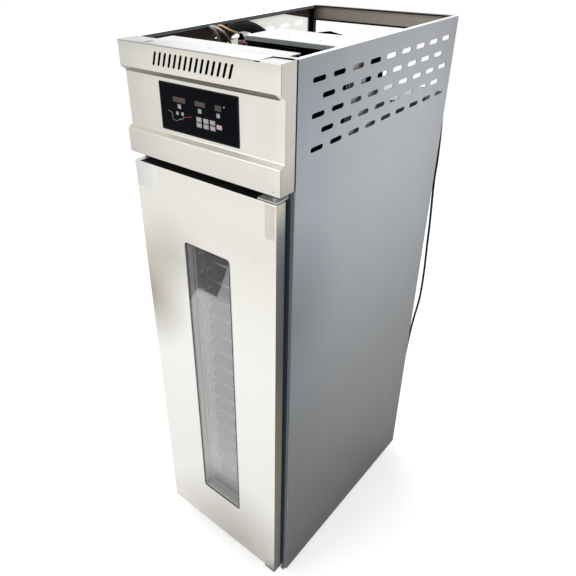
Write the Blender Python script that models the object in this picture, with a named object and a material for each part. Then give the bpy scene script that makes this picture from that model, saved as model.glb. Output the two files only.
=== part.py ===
"""Single-door proofing cabinet, standing with the cover of its machine compartment off.

Metres, +Z up. The origin is on the floor, under the middle of the cabinet. X runs to the right of
someone who faces the door, and Y runs from the door to the back.
"""

import math

import bmesh
import bpy
from mathutils import Matrix, Vector

# Whole cabinet
WIDTH = 0.590
DEPTH = 0.960
HEIGHT = 2.050
FOOT_HEIGHT = 0.040
MACHINE_HEIGHT = 0.334
DECK_HEIGHT = HEIGHT - MACHINE_HEIGHT

# Sheet metal, joints and clearances
SHEET = 0.0010
CLEARANCE = 0.0003
OVERRUN = 0.004
WELD = 0.00001
RIM_FOLD = 0.015
RIM_LIP = 0.010
LIP_END_GAP = 0.010

# Front to back: door, seal, front frame, then the side panels
DOOR_THICKNESS = 0.038
SEAL_THICKNESS = 0.0117
FRAME_THICKNESS = 0.0137
PANEL_JOINT = 0.0005
FRAME_INSET = 0.0025
FRAME_RISE = 0.029
FRAME_BOTTOM = 0.050

# Cold room
CAVITY_WALL = 0.060
CAVITY_WIDTH = WIDTH - 2 * CAVITY_WALL
CAVITY_BOTTOM = 0.135
CAVITY_ROOF = 0.056
CAVITY_TOP = DECK_HEIGHT - CAVITY_ROOF
CAVITY_REAR_WALL = 0.145
CAVITY_DEPTH = DEPTH - CAVITY_REAR_WALL
LINER_FLANGE = 0.025

# Ventilation slots of the side panels
SLOT_LENGTH_share = 0.6264
SLOT_HEIGHT = 0.014
SLOT_ROW_PITCH = 0.0448
SLOT_FIRST = 0.1558
SLOT_LAST = 0.0762
SLOT_DROP = 0.0599
SLOT_TOP = HEIGHT - SLOT_DROP
SLOT_ROWS = (9, 8, 9, 8, 9)
SLOT_LEFT_SHIFT = -0.017
SLOT_LEFT_LIFT = 0.0044
SLOT_PITCH = (DEPTH - SLOT_FIRST - SLOT_LAST) / (max(SLOT_ROWS) - 1)
SLOT_LENGTH = SLOT_PITCH * SLOT_LENGTH_share
SLOT_STEPS = 2

# Fascia, a pressed sheet with a recess for the display
FASCIA_HEIGHT = 0.3294
FASCIA_BOTTOM = HEIGHT - FASCIA_HEIGHT
FASCIA_DEPTH = 0.062
FASCIA_SHELF = 0.0497
RECESS_DEPTH = 0.0175
RECESS_DROP = 0.0855
RECESS_HEIGHT = 0.1595
RECESS_TOP = HEIGHT - RECESS_DROP
RECESS_BOTTOM = RECESS_TOP - RECESS_HEIGHT
RECESS_TOP_RAMP = 0.0135
RECESS_BOTTOM_RAMP = 0.010
VENT_COUNT = 15
VENT_PITCH = 0.0201
VENT_CENTRE = -0.0015
VENT_DROP = 0.0359
VENT_LEVEL = HEIGHT - VENT_DROP
VENT_HEIGHT = 0.0382
VENT_WIDTH = 0.0092
VENT_LEAN = 0.0129
LID_HOLE_RADIUS = 0.0025
LID_HOLE_INSET = 0.018
LID_HOLE_SPREAD = 0.186

# Display
DISPLAY_LEFT = -0.1526
DISPLAY_RIGHT = 0.1467
DISPLAY_MARGIN = 0.011
DISPLAY_HEIGHT = 0.1356
DISPLAY_BOTTOM = RECESS_BOTTOM + DISPLAY_MARGIN
DISPLAY_TOP = DISPLAY_BOTTOM + DISPLAY_HEIGHT
DISPLAY_THICKNESS = 0.0012
DISPLAY_CORNER = 0.003
WINDOW_MARGIN = 0.012
BOARD_MARGIN = 0.004
BOARD_THICKNESS = 0.0016
BOARD_STANDOFF = 0.006
BOARD_STANDOFF_RADIUS = 0.003

# Top rails and rear corner posts
FRONT_RAIL_START = 0.069
FRONT_RAIL_WIDTH = 0.060
FRONT_RAIL_DROP = 0.050
RAIL_LIP = 0.012
RAIL_LEFT_GAP = 0.075
RAIL_CUT_ACROSS = 0.0255
RAIL_CUT_BACK = 0.047
REAR_RAIL_HEIGHT = 0.050
REAR_RAIL_FOLD = 0.015
POST_LEG = 0.014
POST_THICKNESS = 0.0020
REAR_UPSTAND = 0.084

# Door
DOOR_WIDTH = 0.568
DOOR_BOTTOM = 0.0951
DOOR_TOP_GAP = 0.0246
DOOR_TOP = FASCIA_BOTTOM - DOOR_TOP_GAP
SEAL_OUTER = 0.022
SEAL_WIDTH = 0.020
SEAL_INSET = 0.009
GLAZING_LEFT_STILE = 0.197
GLAZING_RIGHT_STILE = 0.174
GLAZING_BOTTOM_RAIL = 0.2249
GLAZING_TOP_RAIL = 0.225
GLAZING_LEFT = GLAZING_LEFT_STILE - DOOR_WIDTH / 2
GLAZING_RIGHT = DOOR_WIDTH / 2 - GLAZING_RIGHT_STILE
GLAZING_BOTTOM = DOOR_BOTTOM + GLAZING_BOTTOM_RAIL
GLAZING_TOP = DOOR_TOP - GLAZING_TOP_RAIL
GLAZING_CORNER = 0.015
GLAZING_FRAME = 0.0025
GLASS = 0.004
GLASS_INSET = 0.0012
CORNER_STEPS = 4

# Door hinge, on the right
HINGE_FROM_EDGE = 0.018
HINGE_FROM_FRONT = 0.016
PIN_RADIUS = 0.004
PIN_DEPTH = 0.030
PIN_HEAD_RADIUS = 0.0065
PIN_HEAD_HEIGHT = 0.005
BUSH_RADIUS = 0.006
BUSH_FLANGE_RADIUS = 0.009
BUSH_LENGTH = 0.034
BRACKET_THICKNESS = 0.004
BRACKET_LEG = 0.003
UPPER_BRACKET_GAP = 0.004
UPPER_BRACKET_WIDTH = 0.0646
UPPER_BRACKET_RISE = 0.0155
LOWER_BRACKET_GAP = 0.0081
LOWER_BRACKET_WIDTH = 0.050
LOWER_BRACKET_DROP = 0.030
BRACKET_OVERHANG = 0.018

# Trays: notched uprights carry wire-pitch rests
TRAY_PITCH = 0.080
TRAY_FIRST = 0.1818
TRAY_HEADROOM = 0.100
TRAY_LEVELS = math.floor((CAVITY_TOP - TRAY_HEADROOM - TRAY_FIRST) / TRAY_PITCH) + 1
REST_WALL = 0.032
REST_HALF_WIDTH = CAVITY_WIDTH / 2 - REST_WALL
REST_FRONT = 0.167
REST_BACK = 0.043
REST_BAR = 0.006
REST_CORNER = 0.030
REST_BAYS = 2
REST_STEPS = 1
UPRIGHT_OVERLAP = 0.0015
UPRIGHT_THICKNESS = 0.018
UPRIGHT_INSET = 0.004
UPRIGHT_MARGIN = 0.010

# Air duct at the back of the cold room
DUCT_REAR = 0.220
DUCT_OFFSET = DEPTH - DUCT_REAR
REST_LENGTH = DUCT_OFFSET - REST_BACK - REST_FRONT
DUCT_SLOT_LENGTH = 0.060
DUCT_SLOT_HEIGHT = 0.012
DUCT_SLOT_COUNT = 9
DUCT_SLOT_EDGE = 0.075
DUCT_SLOT_SPREAD = CAVITY_WIDTH / 2 - DUCT_SLOT_EDGE
DUCT_SLOT_FIRST = 0.250
DUCT_SLOT_MARGIN = 0.070
CABIN_FAN_DROP = 0.260
CABIN_FAN_LEVEL = CAVITY_TOP - CABIN_FAN_DROP
DUCT_SLOT_PITCH = (CABIN_FAN_LEVEL - DUCT_SLOT_FIRST - DUCT_SLOT_MARGIN) / DUCT_SLOT_COUNT
CABIN_FAN_RADIUS = 0.105
COIL_WIDTH_share = 0.62712
COIL_WIDTH = WIDTH * COIL_WIDTH_share
COIL_DEPTH = 0.085
COIL_HEIGHT = 0.340
COIL_DROP = 0.600
COIL_LEVEL = CABIN_FAN_LEVEL - COIL_DROP
COIL_GAP = 0.012
COIL_FIN_COUNT = 14
COIL_FIN_GROOVE = 0.004
HEATER_FALL = 0.200
HEATER_LEVEL = CABIN_FAN_LEVEL - HEATER_FALL
HEATER_RADIUS = 0.006
HEATER_EDGE = 0.125
HEATER_HALF_WIDTH = CAVITY_WIDTH / 2 - HEATER_EDGE
HEATER_DROP = 0.060
PAN_EDGE = 0.085
PAN_WIDTH = CAVITY_WIDTH - 2 * PAN_EDGE
PAN_DEPTH = 0.090
PAN_HEIGHT = 0.060
PAN_WALL = 0.0015
PAN_HEATER_RADIUS = 0.005
PAN_HEATER_EDGE = 0.040
PAN_HEATER_HALF_WIDTH = PAN_WIDTH / 2 - PAN_HEATER_EDGE
PAN_HEATER_RISE = 0.020
PAN_HEATER_GAP = 0.006
STAND_RADIUS = 0.008

# Fans
FAN_TIP_GAP = 0.006
FAN_RING_WALL = 0.004
FAN_RING_DEPTH = 0.036
FAN_PLATE = 0.003
FAN_HUB_RADIUS = 0.030
FAN_HUB_DEPTH = 0.022
FAN_BLADES = 5
FAN_BLADE_START = 9
FAN_BLADE_THICKNESS = 0.002
FAN_BLADE_PITCH = 18
FAN_BLADE_TAPER_share = 0.48
FAN_BLADE_CHORD = 0.060
FAN_SHAFT_RADIUS = 0.004
FAN_SHAFT_GAP = 0.0005
FAN_ARM_HALF_ANGLE = 7
MOTOR_RADIUS = 0.042
MOTOR_LENGTH = 0.052
MOTOR_CHAMFER = 0.006
ROUND_STEPS = 20

# Machine compartment: condenser and its fan on the right
CONDENSER_LEFT_share = -0.16949
CONDENSER_LEFT = WIDTH * CONDENSER_LEFT_share
CONDENSER_EDGE = 0.0175
CONDENSER_RIGHT = WIDTH / 2 - CONDENSER_EDGE
CONDENSER_FRONT_share = 0.340625
CONDENSER_DEPTH = 0.160
CONDENSER_FRONT = DEPTH * CONDENSER_FRONT_share
CONDENSER_REAR = CONDENSER_FRONT + CONDENSER_DEPTH
CONDENSER_DROP = 0.015
CONDENSER_TOP = HEIGHT - CONDENSER_DROP
CONDENSER_LIP = 0.020
CONDENSER_COIL_SETBACK = 0.005
CONDENSER_COIL_FRONT = CONDENSER_FRONT + CONDENSER_COIL_SETBACK
CONDENSER_COIL_DEPTH = 0.090
CONDENSER_COIL_MARGIN = 0.012
CONDENSER_COIL_TOP_GAP = 0.022
CONDENSER_FIN_COUNT = 14
CONDENSER_FIN_GROOVE = 0.004
CONDENSER_FAN_share = 0.46755
CONDENSER_FAN_X = CONDENSER_LEFT + (CONDENSER_RIGHT - CONDENSER_LEFT) * CONDENSER_FAN_share
CONDENSER_FAN_RISE = 0.177
CONDENSER_FAN_LEVEL = DECK_HEIGHT + CONDENSER_FAN_RISE
CONDENSER_FAN_EDGE = 0.0195
CONDENSER_FAN_SIDE = 0.020
CONDENSER_FAN_ROOM_UP = CONDENSER_TOP - DECK_HEIGHT - 2 * CONDENSER_FAN_EDGE
CONDENSER_FAN_ROOM_ACROSS = 2 * (CONDENSER_FAN_X - CONDENSER_LEFT - CONDENSER_FAN_SIDE)
CONDENSER_FAN_RADIUS = min(CONDENSER_FAN_ROOM_UP, CONDENSER_FAN_ROOM_ACROSS) / 2
RETURN_BEND_COUNT = 11
RETURN_BEND_SETBACK = 0.022
RETURN_BEND_SPREAD = 0.020
RETURN_BEND_RADIUS = 0.0045
RETURN_BEND_REACH = 0.018

# Machine compartment: compressor and refrigerant parts on the left
COMPRESSOR_X_share = -0.27966
COMPRESSOR_X = WIDTH * COMPRESSOR_X_share
COMPRESSOR_share = 0.244792
COMPRESSOR_OFFSET = DEPTH * COMPRESSOR_share
COMPRESSOR_RADIUS = 0.075
COMPRESSOR_HEIGHT = 0.200
COMPRESSOR_SEAM = 0.004
COMPRESSOR_BASE = 0.170
COMPRESSOR_BASE_THICKNESS = 0.004
COMPRESSOR_MOUNT_RADIUS = 0.014
COMPRESSOR_MOUNT_HEIGHT = 0.020
COMPRESSOR_MOUNT_INSET = 0.018
TERMINAL_WIDTH = 0.050
TERMINAL_DEPTH = 0.030
TERMINAL_HEIGHT = 0.070
TERMINAL_RISE = 0.055
RECEIVER_X_share = -0.27966
RECEIVER_X = WIDTH * RECEIVER_X_share
RECEIVER_share = 0.447917
RECEIVER_OFFSET = DEPTH * RECEIVER_share
RECEIVER_RADIUS = 0.036
RECEIVER_HEIGHT = 0.170
DRIER_RADIUS = 0.015
DRIER_LENGTH = 0.110
DRIER_X_share = -0.25424
DRIER_X = WIDTH * DRIER_X_share
DRIER_share = 0.583333
DRIER_OFFSET = DEPTH * DRIER_share
DRIER_NECK_RADIUS = 0.006
DRIER_NECK = 0.012
PIPE_RADIUS = 0.0045
SUCTION_RADIUS = 0.006
SLEEVE_RADIUS = 0.018
PASSAGE_X_share = -0.27119
PASSAGE_X = WIDTH * PASSAGE_X_share
PASSAGE_share = 0.833333
PASSAGE_OFFSET = DEPTH * PASSAGE_share
PASSAGE_RADIUS = 0.024
PASSAGE_SPREAD_share = 0.02373
PASSAGE_SPREAD = WIDTH * PASSAGE_SPREAD_share
CLAMP_HEIGHT = 0.012
PIPE_LAP = 0.003

# Electrical box
BOX_WIDTH = 0.200
BOX_EDGE = 0.035
BOX_RIGHT = WIDTH / 2 - BOX_EDGE
BOX_LEFT = BOX_RIGHT - BOX_WIDTH
BOX_DEPTH = 0.220
BOX_WALL_GAP = 0.100
BOX_REAR = DEPTH - BOX_WALL_GAP
BOX_FRONT = BOX_REAR - BOX_DEPTH
BOX_HEIGHT = 0.110
BOX_WALL = 0.0015

# Levelling feet
FOOT_INSET_SIDE = 0.050
FOOT_INSET_FRONT = 0.100
FOOT_INSET_REAR = 0.060
FOOT_PAD_RADIUS = 0.022
FOOT_PAD_HEIGHT = 0.010
FOOT_NUT_RADIUS = 0.011
FOOT_NUT_HEIGHT = 0.008
FOOT_STEM_RADIUS = 0.006
FOOT_STEM_TOP = 0.066
FOOT_PAD_BEVEL = 0.003
SLEEVE_NUT_RADIUS = 0.011
SLEEVE_NUT_HEIGHT = 0.034
FINE_STEPS = 12
BASE_THICKNESS = 0.0015

# Mains cord
CORD_DIAMETER = 0.009
GLAND_EDGE = 0.040
GLAND_X = WIDTH / 2 - GLAND_EDGE
GLAND_RISE = 0.049
GLAND_LEVEL = DECK_HEIGHT + GLAND_RISE
GLAND_FLANGE_RADIUS = 0.013
GLAND_FLANGE_THICKNESS = 0.005
GLAND_NECK_RADIUS = 0.0085
GLAND_TIP_RADIUS = 0.0058
GLAND_LENGTH = 0.030
GLAND_NUT_THICKNESS = 0.006
COIL_TURN_RADIUS = 0.056
COIL_TURN_PITCH = 0.0114
COIL_TURNS = 3
COIL_STEPS = 24
COIL_SHIFT = 0.165
COIL_CENTRE_X = GLAND_X - COIL_SHIFT
COIL_CLEAR = 0.073
COIL_CENTRE_Y = DEPTH / 2 + COIL_CLEAR
PLUG_TAIL = 0.043
PLUG_TAIL_RADIUS = 0.0075
PLUG_BODY_LENGTH = 0.042
PLUG_BODY_WIDTH = 0.036
PLUG_PIN_LENGTH = 0.018
PLUG_PIN_WIDTH = 0.0062
PLUG_PIN_THICKNESS = 0.0016
PLUG_PIN_SPREAD = 0.0079
PLUG_PIN_LEAN = 30
PLUG_BEVEL = 0.003

# Route of the free cord, from the gland down behind the cabinet and along the floor to the coil:
# places beside the gland and behind the back, and levels as shares of the gland's level
CORD_ROUTE = [
    (0.0000, 0.0303, 1.000000),
    (0.0000, 0.0363, 1.000000),
    (0.0001, 0.0543, 0.997280),
    (0.0005, 0.0675, 0.989802),
    (0.0015, 0.0723, 0.979603),
    (0.0062, 0.0720, 0.951841),
    (0.0105, 0.0713, 0.922153),
    (0.0148, 0.0710, 0.861190),
    (0.0149, 0.0710, 0.807195),
    (0.0245, 0.0710, 0.706176),
    (0.0275, 0.0710, 0.652691),
    (0.0332, 0.0710, 0.572238),
    (0.0324, 0.0710, 0.497450),
    (0.0184, 0.0710, 0.421530),
    (0.0090, 0.0710, 0.342210),
    (0.0030, 0.0715, 0.254958),
    (-0.0020, 0.0725, 0.169972),
    (-0.0050, 0.0760, 0.084986),
    (-0.0100, 0.0820, 0.045326),
    (-0.0250, 0.0940, 0.018697),
    (-0.0520, 0.1080, 0.006516),
    (-0.0850, 0.1195, 0.002833),
    (-0.1150, 0.1270, 0.002720),
    (-0.1350, 0.1290, 0.002720),
    (-0.1467, 0.1290, 0.002720),
]

# Routes of the refrigerant pipes: shares of the width, shares of the depth behind the front and heights
# over the deck. The drier's outlet gives shares of the way from the drier to the grommet instead.
SLEEVE_ROUTE = [
    (-0.31356, 0.244792, 0.2249),
    (-0.31356, 0.244792, 0.2390),
    (-0.33898, 0.270833, 0.2710),
    (-0.39322, 0.322917, 0.2820),
    (-0.41900, 0.364600, 0.2735),
    (-0.42550, 0.394000, 0.2750),
    (-0.42900, 0.424500, 0.2960),
    (-0.42800, 0.456600, 0.3095),
    (-0.42712, 0.490400, 0.3132),
    (-0.42712, 0.520800, 0.3114),
    (-0.42373, 0.552600, 0.3037),
    (-0.41525, 0.590900, 0.2858),
    (-0.39831, 0.630200, 0.2580),
    (-0.36949, 0.687500, 0.2110),
    (-0.33559, 0.760417, 0.1530),
    (-0.30508, 0.810417, 0.0930),
    (-0.29492, 0.831250, 0.0480),
    (-0.29492, 0.833333, 0.0250),
    (-0.29492, 0.833333, 0.0136),
]
DISCHARGE_ROUTE = [
    (-0.24576, 0.265625, 0.2249),
    (-0.24576, 0.265625, 0.2430),
    (-0.27119, 0.291667, 0.2780),
    (-0.34746, 0.328125, 0.3130),
    (-0.43220, 0.352083, 0.3245),
    (-0.45593, 0.365625, 0.3250),
    (-0.44407, 0.376458, 0.3243),
    (-0.42373, 0.391979, 0.3153),
    (-0.39500, 0.399100, 0.3022),
    (-0.37288, 0.400938, 0.2850),
    (-0.35254, 0.403125, 0.2630),
    (-0.30508, 0.406250, 0.2380),
    (-0.24576, 0.422917, 0.2280),
    (-0.20000, 0.432292, 0.2280),
    (-0.17000, 0.432292, 0.2280),
]
CONDENSATE_ROUTE = [
    (-0.17000, 0.432292, 0.0580),
    (-0.18644, 0.432292, 0.0580),
    (-0.20000, 0.435417, 0.0730),
    (-0.20169, 0.439583, 0.1330),
    (-0.20508, 0.443750, 0.1880),
    (-0.23390, 0.447917, 0.2090),
    (-0.26441, 0.447917, 0.1880),
    (-0.26441, 0.447917, 0.1666),
]
LIQUID_ROUTE = [
    (-0.29492, 0.447917, 0.1706),
    (-0.29492, 0.447917, 0.1880),
    (-0.30508, 0.448438, 0.2280),
    (-0.32203, 0.448958, 0.2680),
    (-0.33644, 0.446875, 0.2890),
    (-0.34407, 0.437500, 0.3015),
    (-0.34915, 0.422917, 0.3065),
    (-0.35932, 0.408333, 0.3120),
    (-0.38136, 0.399479, 0.3195),
    (-0.42373, 0.397396, 0.3270),
    (-0.45085, 0.396875, 0.3230),
    (-0.46441, 0.389583, 0.3030),
    (-0.46441, 0.383333, 0.2430),
    (-0.46102, 0.383333, 0.1530),
    (-0.45424, 0.395833, 0.0780),
    (-0.41525, 0.458333, 0.0330),
    (-0.34746, 0.515625, 0.0276),
    (-0.27966, 0.546875, 0.0276),
    (-0.25424, 0.567708, 0.0276),
    (-0.25424, 0.583021, 0.0276),
]
FEED_ROUTE = [
    (-0.25424, 0.000000, 0.0276),
    (-0.25424, 0.135338, 0.0276),
    (-0.25424, 0.323308, 0.0330),
    (-0.25085, 0.624060, 0.0530),
    (-0.24915, 0.849624, 0.0610),
    (-0.24746, 0.977444, 0.0480),
    (-0.24746, 1.000000, 0.0280),
    (-0.24746, 1.000000, 0.0136),
]

HALF = WIDTH / 2
FRONT = -DEPTH / 2
REAR = DEPTH / 2
DOOR_BACK = FRONT + DOOR_THICKNESS
SEAL_FRONT = DOOR_BACK + CLEARANCE
SEAL_BACK = SEAL_FRONT + SEAL_THICKNESS
FRAME_FRONT = SEAL_BACK + CLEARANCE
FRAME_BACK = FRAME_FRONT + FRAME_THICKNESS
PANEL_FRONT = FRAME_BACK + PANEL_JOINT
LINER_FRONT = FRAME_BACK + CLEARANCE
LINER_BACK = LINER_FRONT + CAVITY_DEPTH
FOAM_FRONT = PANEL_FRONT + SHEET + CLEARANCE
REAR_SKIN_BACK = REAR - SHEET - CLEARANCE
FOAM_BACK = REAR_SKIN_BACK - SHEET - CLEARANCE
INSIDE = HALF - SHEET - CLEARANCE
BASE_BOTTOM = FOOT_HEIGHT + SHEET + CLEARANCE
BASE_TOP = BASE_BOTTOM + BASE_THICKNESS
DECK_TOP = DECK_HEIGHT + SHEET
CAVITY = CAVITY_WIDTH / 2
DUCT_Y = FRONT + DUCT_OFFSET
HINGE_X = DOOR_WIDTH / 2 - HINGE_FROM_EDGE
HINGE_Y = FRONT + HINGE_FROM_FRONT
PASSAGE = (PASSAGE_X, FRONT + PASSAGE_OFFSET)
CORD_RADIUS = CORD_DIAMETER / 2
CORD_LEVEL = CORD_RADIUS + CLEARANCE

# Finishes: colour, roughness, metallic
BRUSHED = ((0.70, 0.67, 0.62), 0.34, 1.0)
BODY_STEEL = ((0.36, 0.39, 0.42), 0.36, 1.0)
GALVANISED = ((0.62, 0.63, 0.64), 0.42, 1.0)
BRIGHT = ((0.78, 0.78, 0.78), 0.22, 1.0)
BLACK_PAINT = ((0.020, 0.020, 0.022), 0.45, 0.0)
SLATE = ((0.060, 0.075, 0.105), 0.50, 0.0)
BLACK_RUBBER = ((0.012, 0.012, 0.012), 0.75, 0.0)
BLACK_GLOSS = ((0.006, 0.008, 0.012), 0.15, 0.0)
BOARD_GREEN = ((0.020, 0.110, 0.050), 0.45, 0.0)
FOAM_CREAM = ((0.720, 0.640, 0.420), 0.85, 0.0)
GLASS_GREY = ((0.300, 0.330, 0.340), 0.05, 0.0)
FRAME_GREY = ((0.330, 0.350, 0.370), 0.45, 0.0)
COPPER = ((0.620, 0.270, 0.150), 0.30, 1.0)
FIN_BLACK = ((0.030, 0.030, 0.032), 0.55, 0.3)


def finish_material(name, finish):
    """A plain material in one of the finishes."""
    colour, roughness, metallic = finish
    made = bpy.data.materials.new(name)
    made.use_nodes = True
    shader = made.node_tree.nodes["Principled BSDF"]
    shader.inputs["Base Color"].default_value = (*colour, 1.0)
    shader.inputs["Roughness"].default_value = roughness
    shader.inputs["Metallic"].default_value = metallic
    return made


def pivot(name, place):
    """An empty on a joint's axis, which carries the pieces that move with it."""
    made = bpy.data.objects.new(name, None)
    made.location = place
    bpy.context.collection.objects.link(made)
    return made


def carry(piece, empty):
    """Hang a piece, already in its place, on an empty."""
    piece.parent = empty
    piece.matrix_parent_inverse = Matrix.Translation(empty.location).inverted()


def add_piece(name, bm, finish, empty=None, smooth=False):
    """A named piece from a bmesh, in its place."""
    bmesh.ops.remove_doubles(bm, verts=bm.verts, dist=WELD)
    bmesh.ops.recalc_face_normals(bm, faces=bm.faces)
    mesh = bpy.data.meshes.new(name)
    bm.to_mesh(mesh)
    bm.free()
    if smooth:
        mesh.shade_smooth()
        mesh.set_sharp_from_angle(angle=math.radians(35))
    piece = bpy.data.objects.new(name, mesh)
    mesh.materials.append(finish_material(name, finish))
    bpy.context.collection.objects.link(piece)
    if empty:
        carry(piece, empty)
    return piece


def combine(piece, name, bm, operation):
    """Cut a bmesh out of a piece, or join it to the piece."""
    tool = add_piece(name, bm, BLACK_PAINT)
    tool.hide_render = True
    tool.display_type = "WIRE"
    step = piece.modifiers.new(name, "BOOLEAN")
    step.operation = operation
    step.solver = "EXACT"
    step.object = tool


def thicken(piece, thickness, offset):
    """Give a folded sheet its thickness: offset -1 grows it inwards and 1 outwards."""
    step = piece.modifiers.new("sheet", "SOLIDIFY")
    step.thickness = thickness
    step.offset = offset
    step.use_even_offset = True


def add_block(bm, low, high):
    """A box between two corners."""
    low = Vector(low)
    high = Vector(high)
    size = high - low
    place = Matrix.Translation((low + high) / 2) @ Matrix.Diagonal((*size, 1))
    bmesh.ops.create_cube(bm, size=1, matrix=place)


def block(low, high):
    """A bmesh that holds one box."""
    bm = bmesh.new()
    add_block(bm, low, high)
    return bm


def arc(across, up, radius, start, end, steps):
    """Points along an arc, both ends included, with angles in degrees."""
    points = []
    for step in range(steps + 1):
        angle = math.radians(start + (end - start) * step / steps)
        points.append((across + radius * math.cos(angle), up + radius * math.sin(angle)))
    return points


def circle(across, up, radius, steps):
    """Points round a circle."""
    return arc(across, up, radius, 0, 360, steps)[:-1]


def rectangle(left, bottom, right, top):
    """The corners of a rectangle."""
    return [(left, bottom), (right, bottom), (right, top), (left, top)]


def rounded_rectangle(left, bottom, right, top, radius, steps):
    """The outline of a rectangle with round corners."""
    points = arc(right - radius, top - radius, radius, 0, 90, steps)
    points += arc(left + radius, top - radius, radius, 90, 180, steps)
    points += arc(left + radius, bottom + radius, radius, 180, 270, steps)
    points += arc(right - radius, bottom + radius, radius, 270, 360, steps)
    return points


def round_slot(across, up, length, height, steps):
    """The outline of a level slot with round ends."""
    radius = height / 2
    reach = length / 2 - radius
    points = arc(across + reach, up, radius, -90, 90, steps)
    points += arc(across - reach, up, radius, 90, 270, steps)
    return points


def lay(axis, level, points):
    """Put flat points in space, on the plane at one level of an axis."""
    if axis == "X":
        return [Vector((level, a, b)) for a, b in points]
    if axis == "Y":
        return [Vector((a, level, b)) for a, b in points]
    return [Vector((a, b, level)) for a, b in points]


def add_face(bm, outline, holes=()):
    """A flat face, with any holes left open."""
    if not holes:
        bm.faces.new([bm.verts.new(point) for point in outline])
        return
    edges = []
    for ring in (outline, *holes):
        verts = [bm.verts.new(point) for point in ring]
        edges += [bm.edges.new((verts[i - 1], verts[i])) for i in range(len(verts))]
    bmesh.ops.triangle_fill(bm, use_beauty=True, edges=edges)


def add_plate(bm, axis, low, high, outline, holes=()):
    """A flat plate between two levels of an axis, from flat outlines."""
    sheet = bmesh.new()
    add_face(sheet, lay(axis, low, outline), [lay(axis, low, ring) for ring in holes])
    grown = bmesh.ops.extrude_face_region(sheet, geom=sheet.faces[:])
    moved = [item for item in grown["geom"] if isinstance(item, bmesh.types.BMVert)]
    rise = lay(axis, high, [(0, 0)])[0] - lay(axis, low, [(0, 0)])[0]
    bmesh.ops.translate(sheet, vec=rise, verts=moved)
    bmesh.ops.recalc_face_normals(sheet, faces=sheet.faces)
    add_bmesh(bm, sheet)


def add_bmesh(bm, other):
    """Move one bmesh's geometry into another."""
    carried = bpy.data.meshes.new("carried")
    other.to_mesh(carried)
    other.free()
    bm.from_mesh(carried)
    bpy.data.meshes.remove(carried)


def turn_to(axis):
    """The rotation that takes +Z to an axis."""
    return Vector((0, 0, 1)).rotation_difference(Vector(axis)).to_matrix().to_4x4()


def add_turned(bm, profile, place, axis=(0, 0, 1), steps=ROUND_STEPS):
    """A solid turned from (radius, along) points. A profile that stays off the axis is closed."""
    lathe = bmesh.new()
    verts = [lathe.verts.new((radius, 0, along)) for radius, along in profile]
    edges = [lathe.edges.new(pair) for pair in zip(verts, verts[1:])]
    if profile[0][0] > 0:
        edges.append(lathe.edges.new((verts[-1], verts[0])))
    bmesh.ops.spin(
        lathe,
        geom=verts + edges,
        cent=(0, 0, 0),
        axis=(0, 0, 1),
        angle=math.tau,
        steps=steps,
        use_merge=True,
    )
    bmesh.ops.remove_doubles(lathe, verts=lathe.verts, dist=WELD)
    bmesh.ops.recalc_face_normals(lathe, faces=lathe.faces)
    bmesh.ops.transform(lathe, matrix=Matrix.Translation(place) @ turn_to(axis), verts=lathe.verts)
    add_bmesh(bm, lathe)


def add_rod(bm, place, axis, radius, length, steps=ROUND_STEPS):
    """A plain round rod that starts at a place."""
    add_turned(bm, [(0, 0), (radius, 0), (radius, length), (0, length)], place, axis, steps)


def smooth_points(route, spacing):
    """Read points at an even spacing from a smooth curve through a route.

    The route's first and last stretches stay straight, so that the ends meet what they join squarely.
    """
    places = [Vector(place) for place in route[1:-1]]
    padded = [Vector(route[0]), *places, Vector(route[-1])]
    fine = []
    for before, start, end, after in zip(padded, padded[1:], padded[2:], padded[3:]):
        count = max(2, math.ceil(8 * (end - start).length / spacing))
        for step in range(count):
            t = step / count
            bend = (-before + 3 * start - 3 * end + after) * t**3
            bend += (2 * before - 5 * start + 4 * end - after) * t**2
            bend += (end - before) * t
            fine.append(start + bend / 2)
    fine.append(places[-1])
    total = sum((b - a).length for a, b in zip(fine, fine[1:]))
    count = max(2, round(total / spacing))
    points = [padded[0], fine[0]]
    run = 0
    for a, b in zip(fine, fine[1:]):
        run += (b - a).length
        if run >= total * (len(points) - 1) / count and len(points) <= count:
            points.append(b)
    return [*points, fine[-1], padded[-1]]


def add_run(bm, points, radius, sides=6):
    """A round tube with closed ends along points, as part of a mesh."""
    along = (points[1] - points[0]).normalized()
    across = along.orthogonal().normalized()
    last = len(points) - 1
    rings = []
    for i, point in enumerate(points):
        ahead = (points[min(i + 1, last)] - points[max(i - 1, 0)]).normalized()
        across = along.rotation_difference(ahead) @ across
        along = ahead
        up = along.cross(across)
        ring = []
        for side in range(sides):
            turn = math.tau * side / sides
            offset = across * math.cos(turn) + up * math.sin(turn)
            ring.append(bm.verts.new(point + radius * offset))
        rings.append(ring)
    for near, far in zip(rings, rings[1:]):
        for side in range(sides):
            bm.faces.new((near[side - 1], near[side], far[side], far[side - 1]))
    bm.faces.new(rings[0])
    bm.faces.new(rings[-1])


def add_tube(name, points, radius, finish, resolution=2):
    """A round tube with closed ends along points, as a piece of its own."""
    curve = bpy.data.curves.new(name, "CURVE")
    curve.dimensions = "3D"
    curve.bevel_depth = radius
    curve.bevel_resolution = resolution
    curve.use_fill_caps = True
    spline = curve.splines.new("POLY")
    spline.points.add(len(points) - 1)
    for slot, point in zip(spline.points, points):
        slot.co = (*point, 1)
    curve.materials.append(finish_material(name, finish))
    tube = bpy.data.objects.new(name, curve)
    bpy.context.collection.objects.link(tube)
    return tube


def deck_route(shape, start=FRONT, end=REAR):
    """The places of a pipe's route over the deck, between two places on the way back."""
    return [(WIDTH * x, start + (end - start) * y, DECK_TOP + rise) for x, y, rise in shape]


def pipe(name, route, radius, finish):
    """A bent pipe along a route."""
    return add_tube(name, smooth_points(route, 4 * radius), radius, finish, resolution=1)


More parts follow.
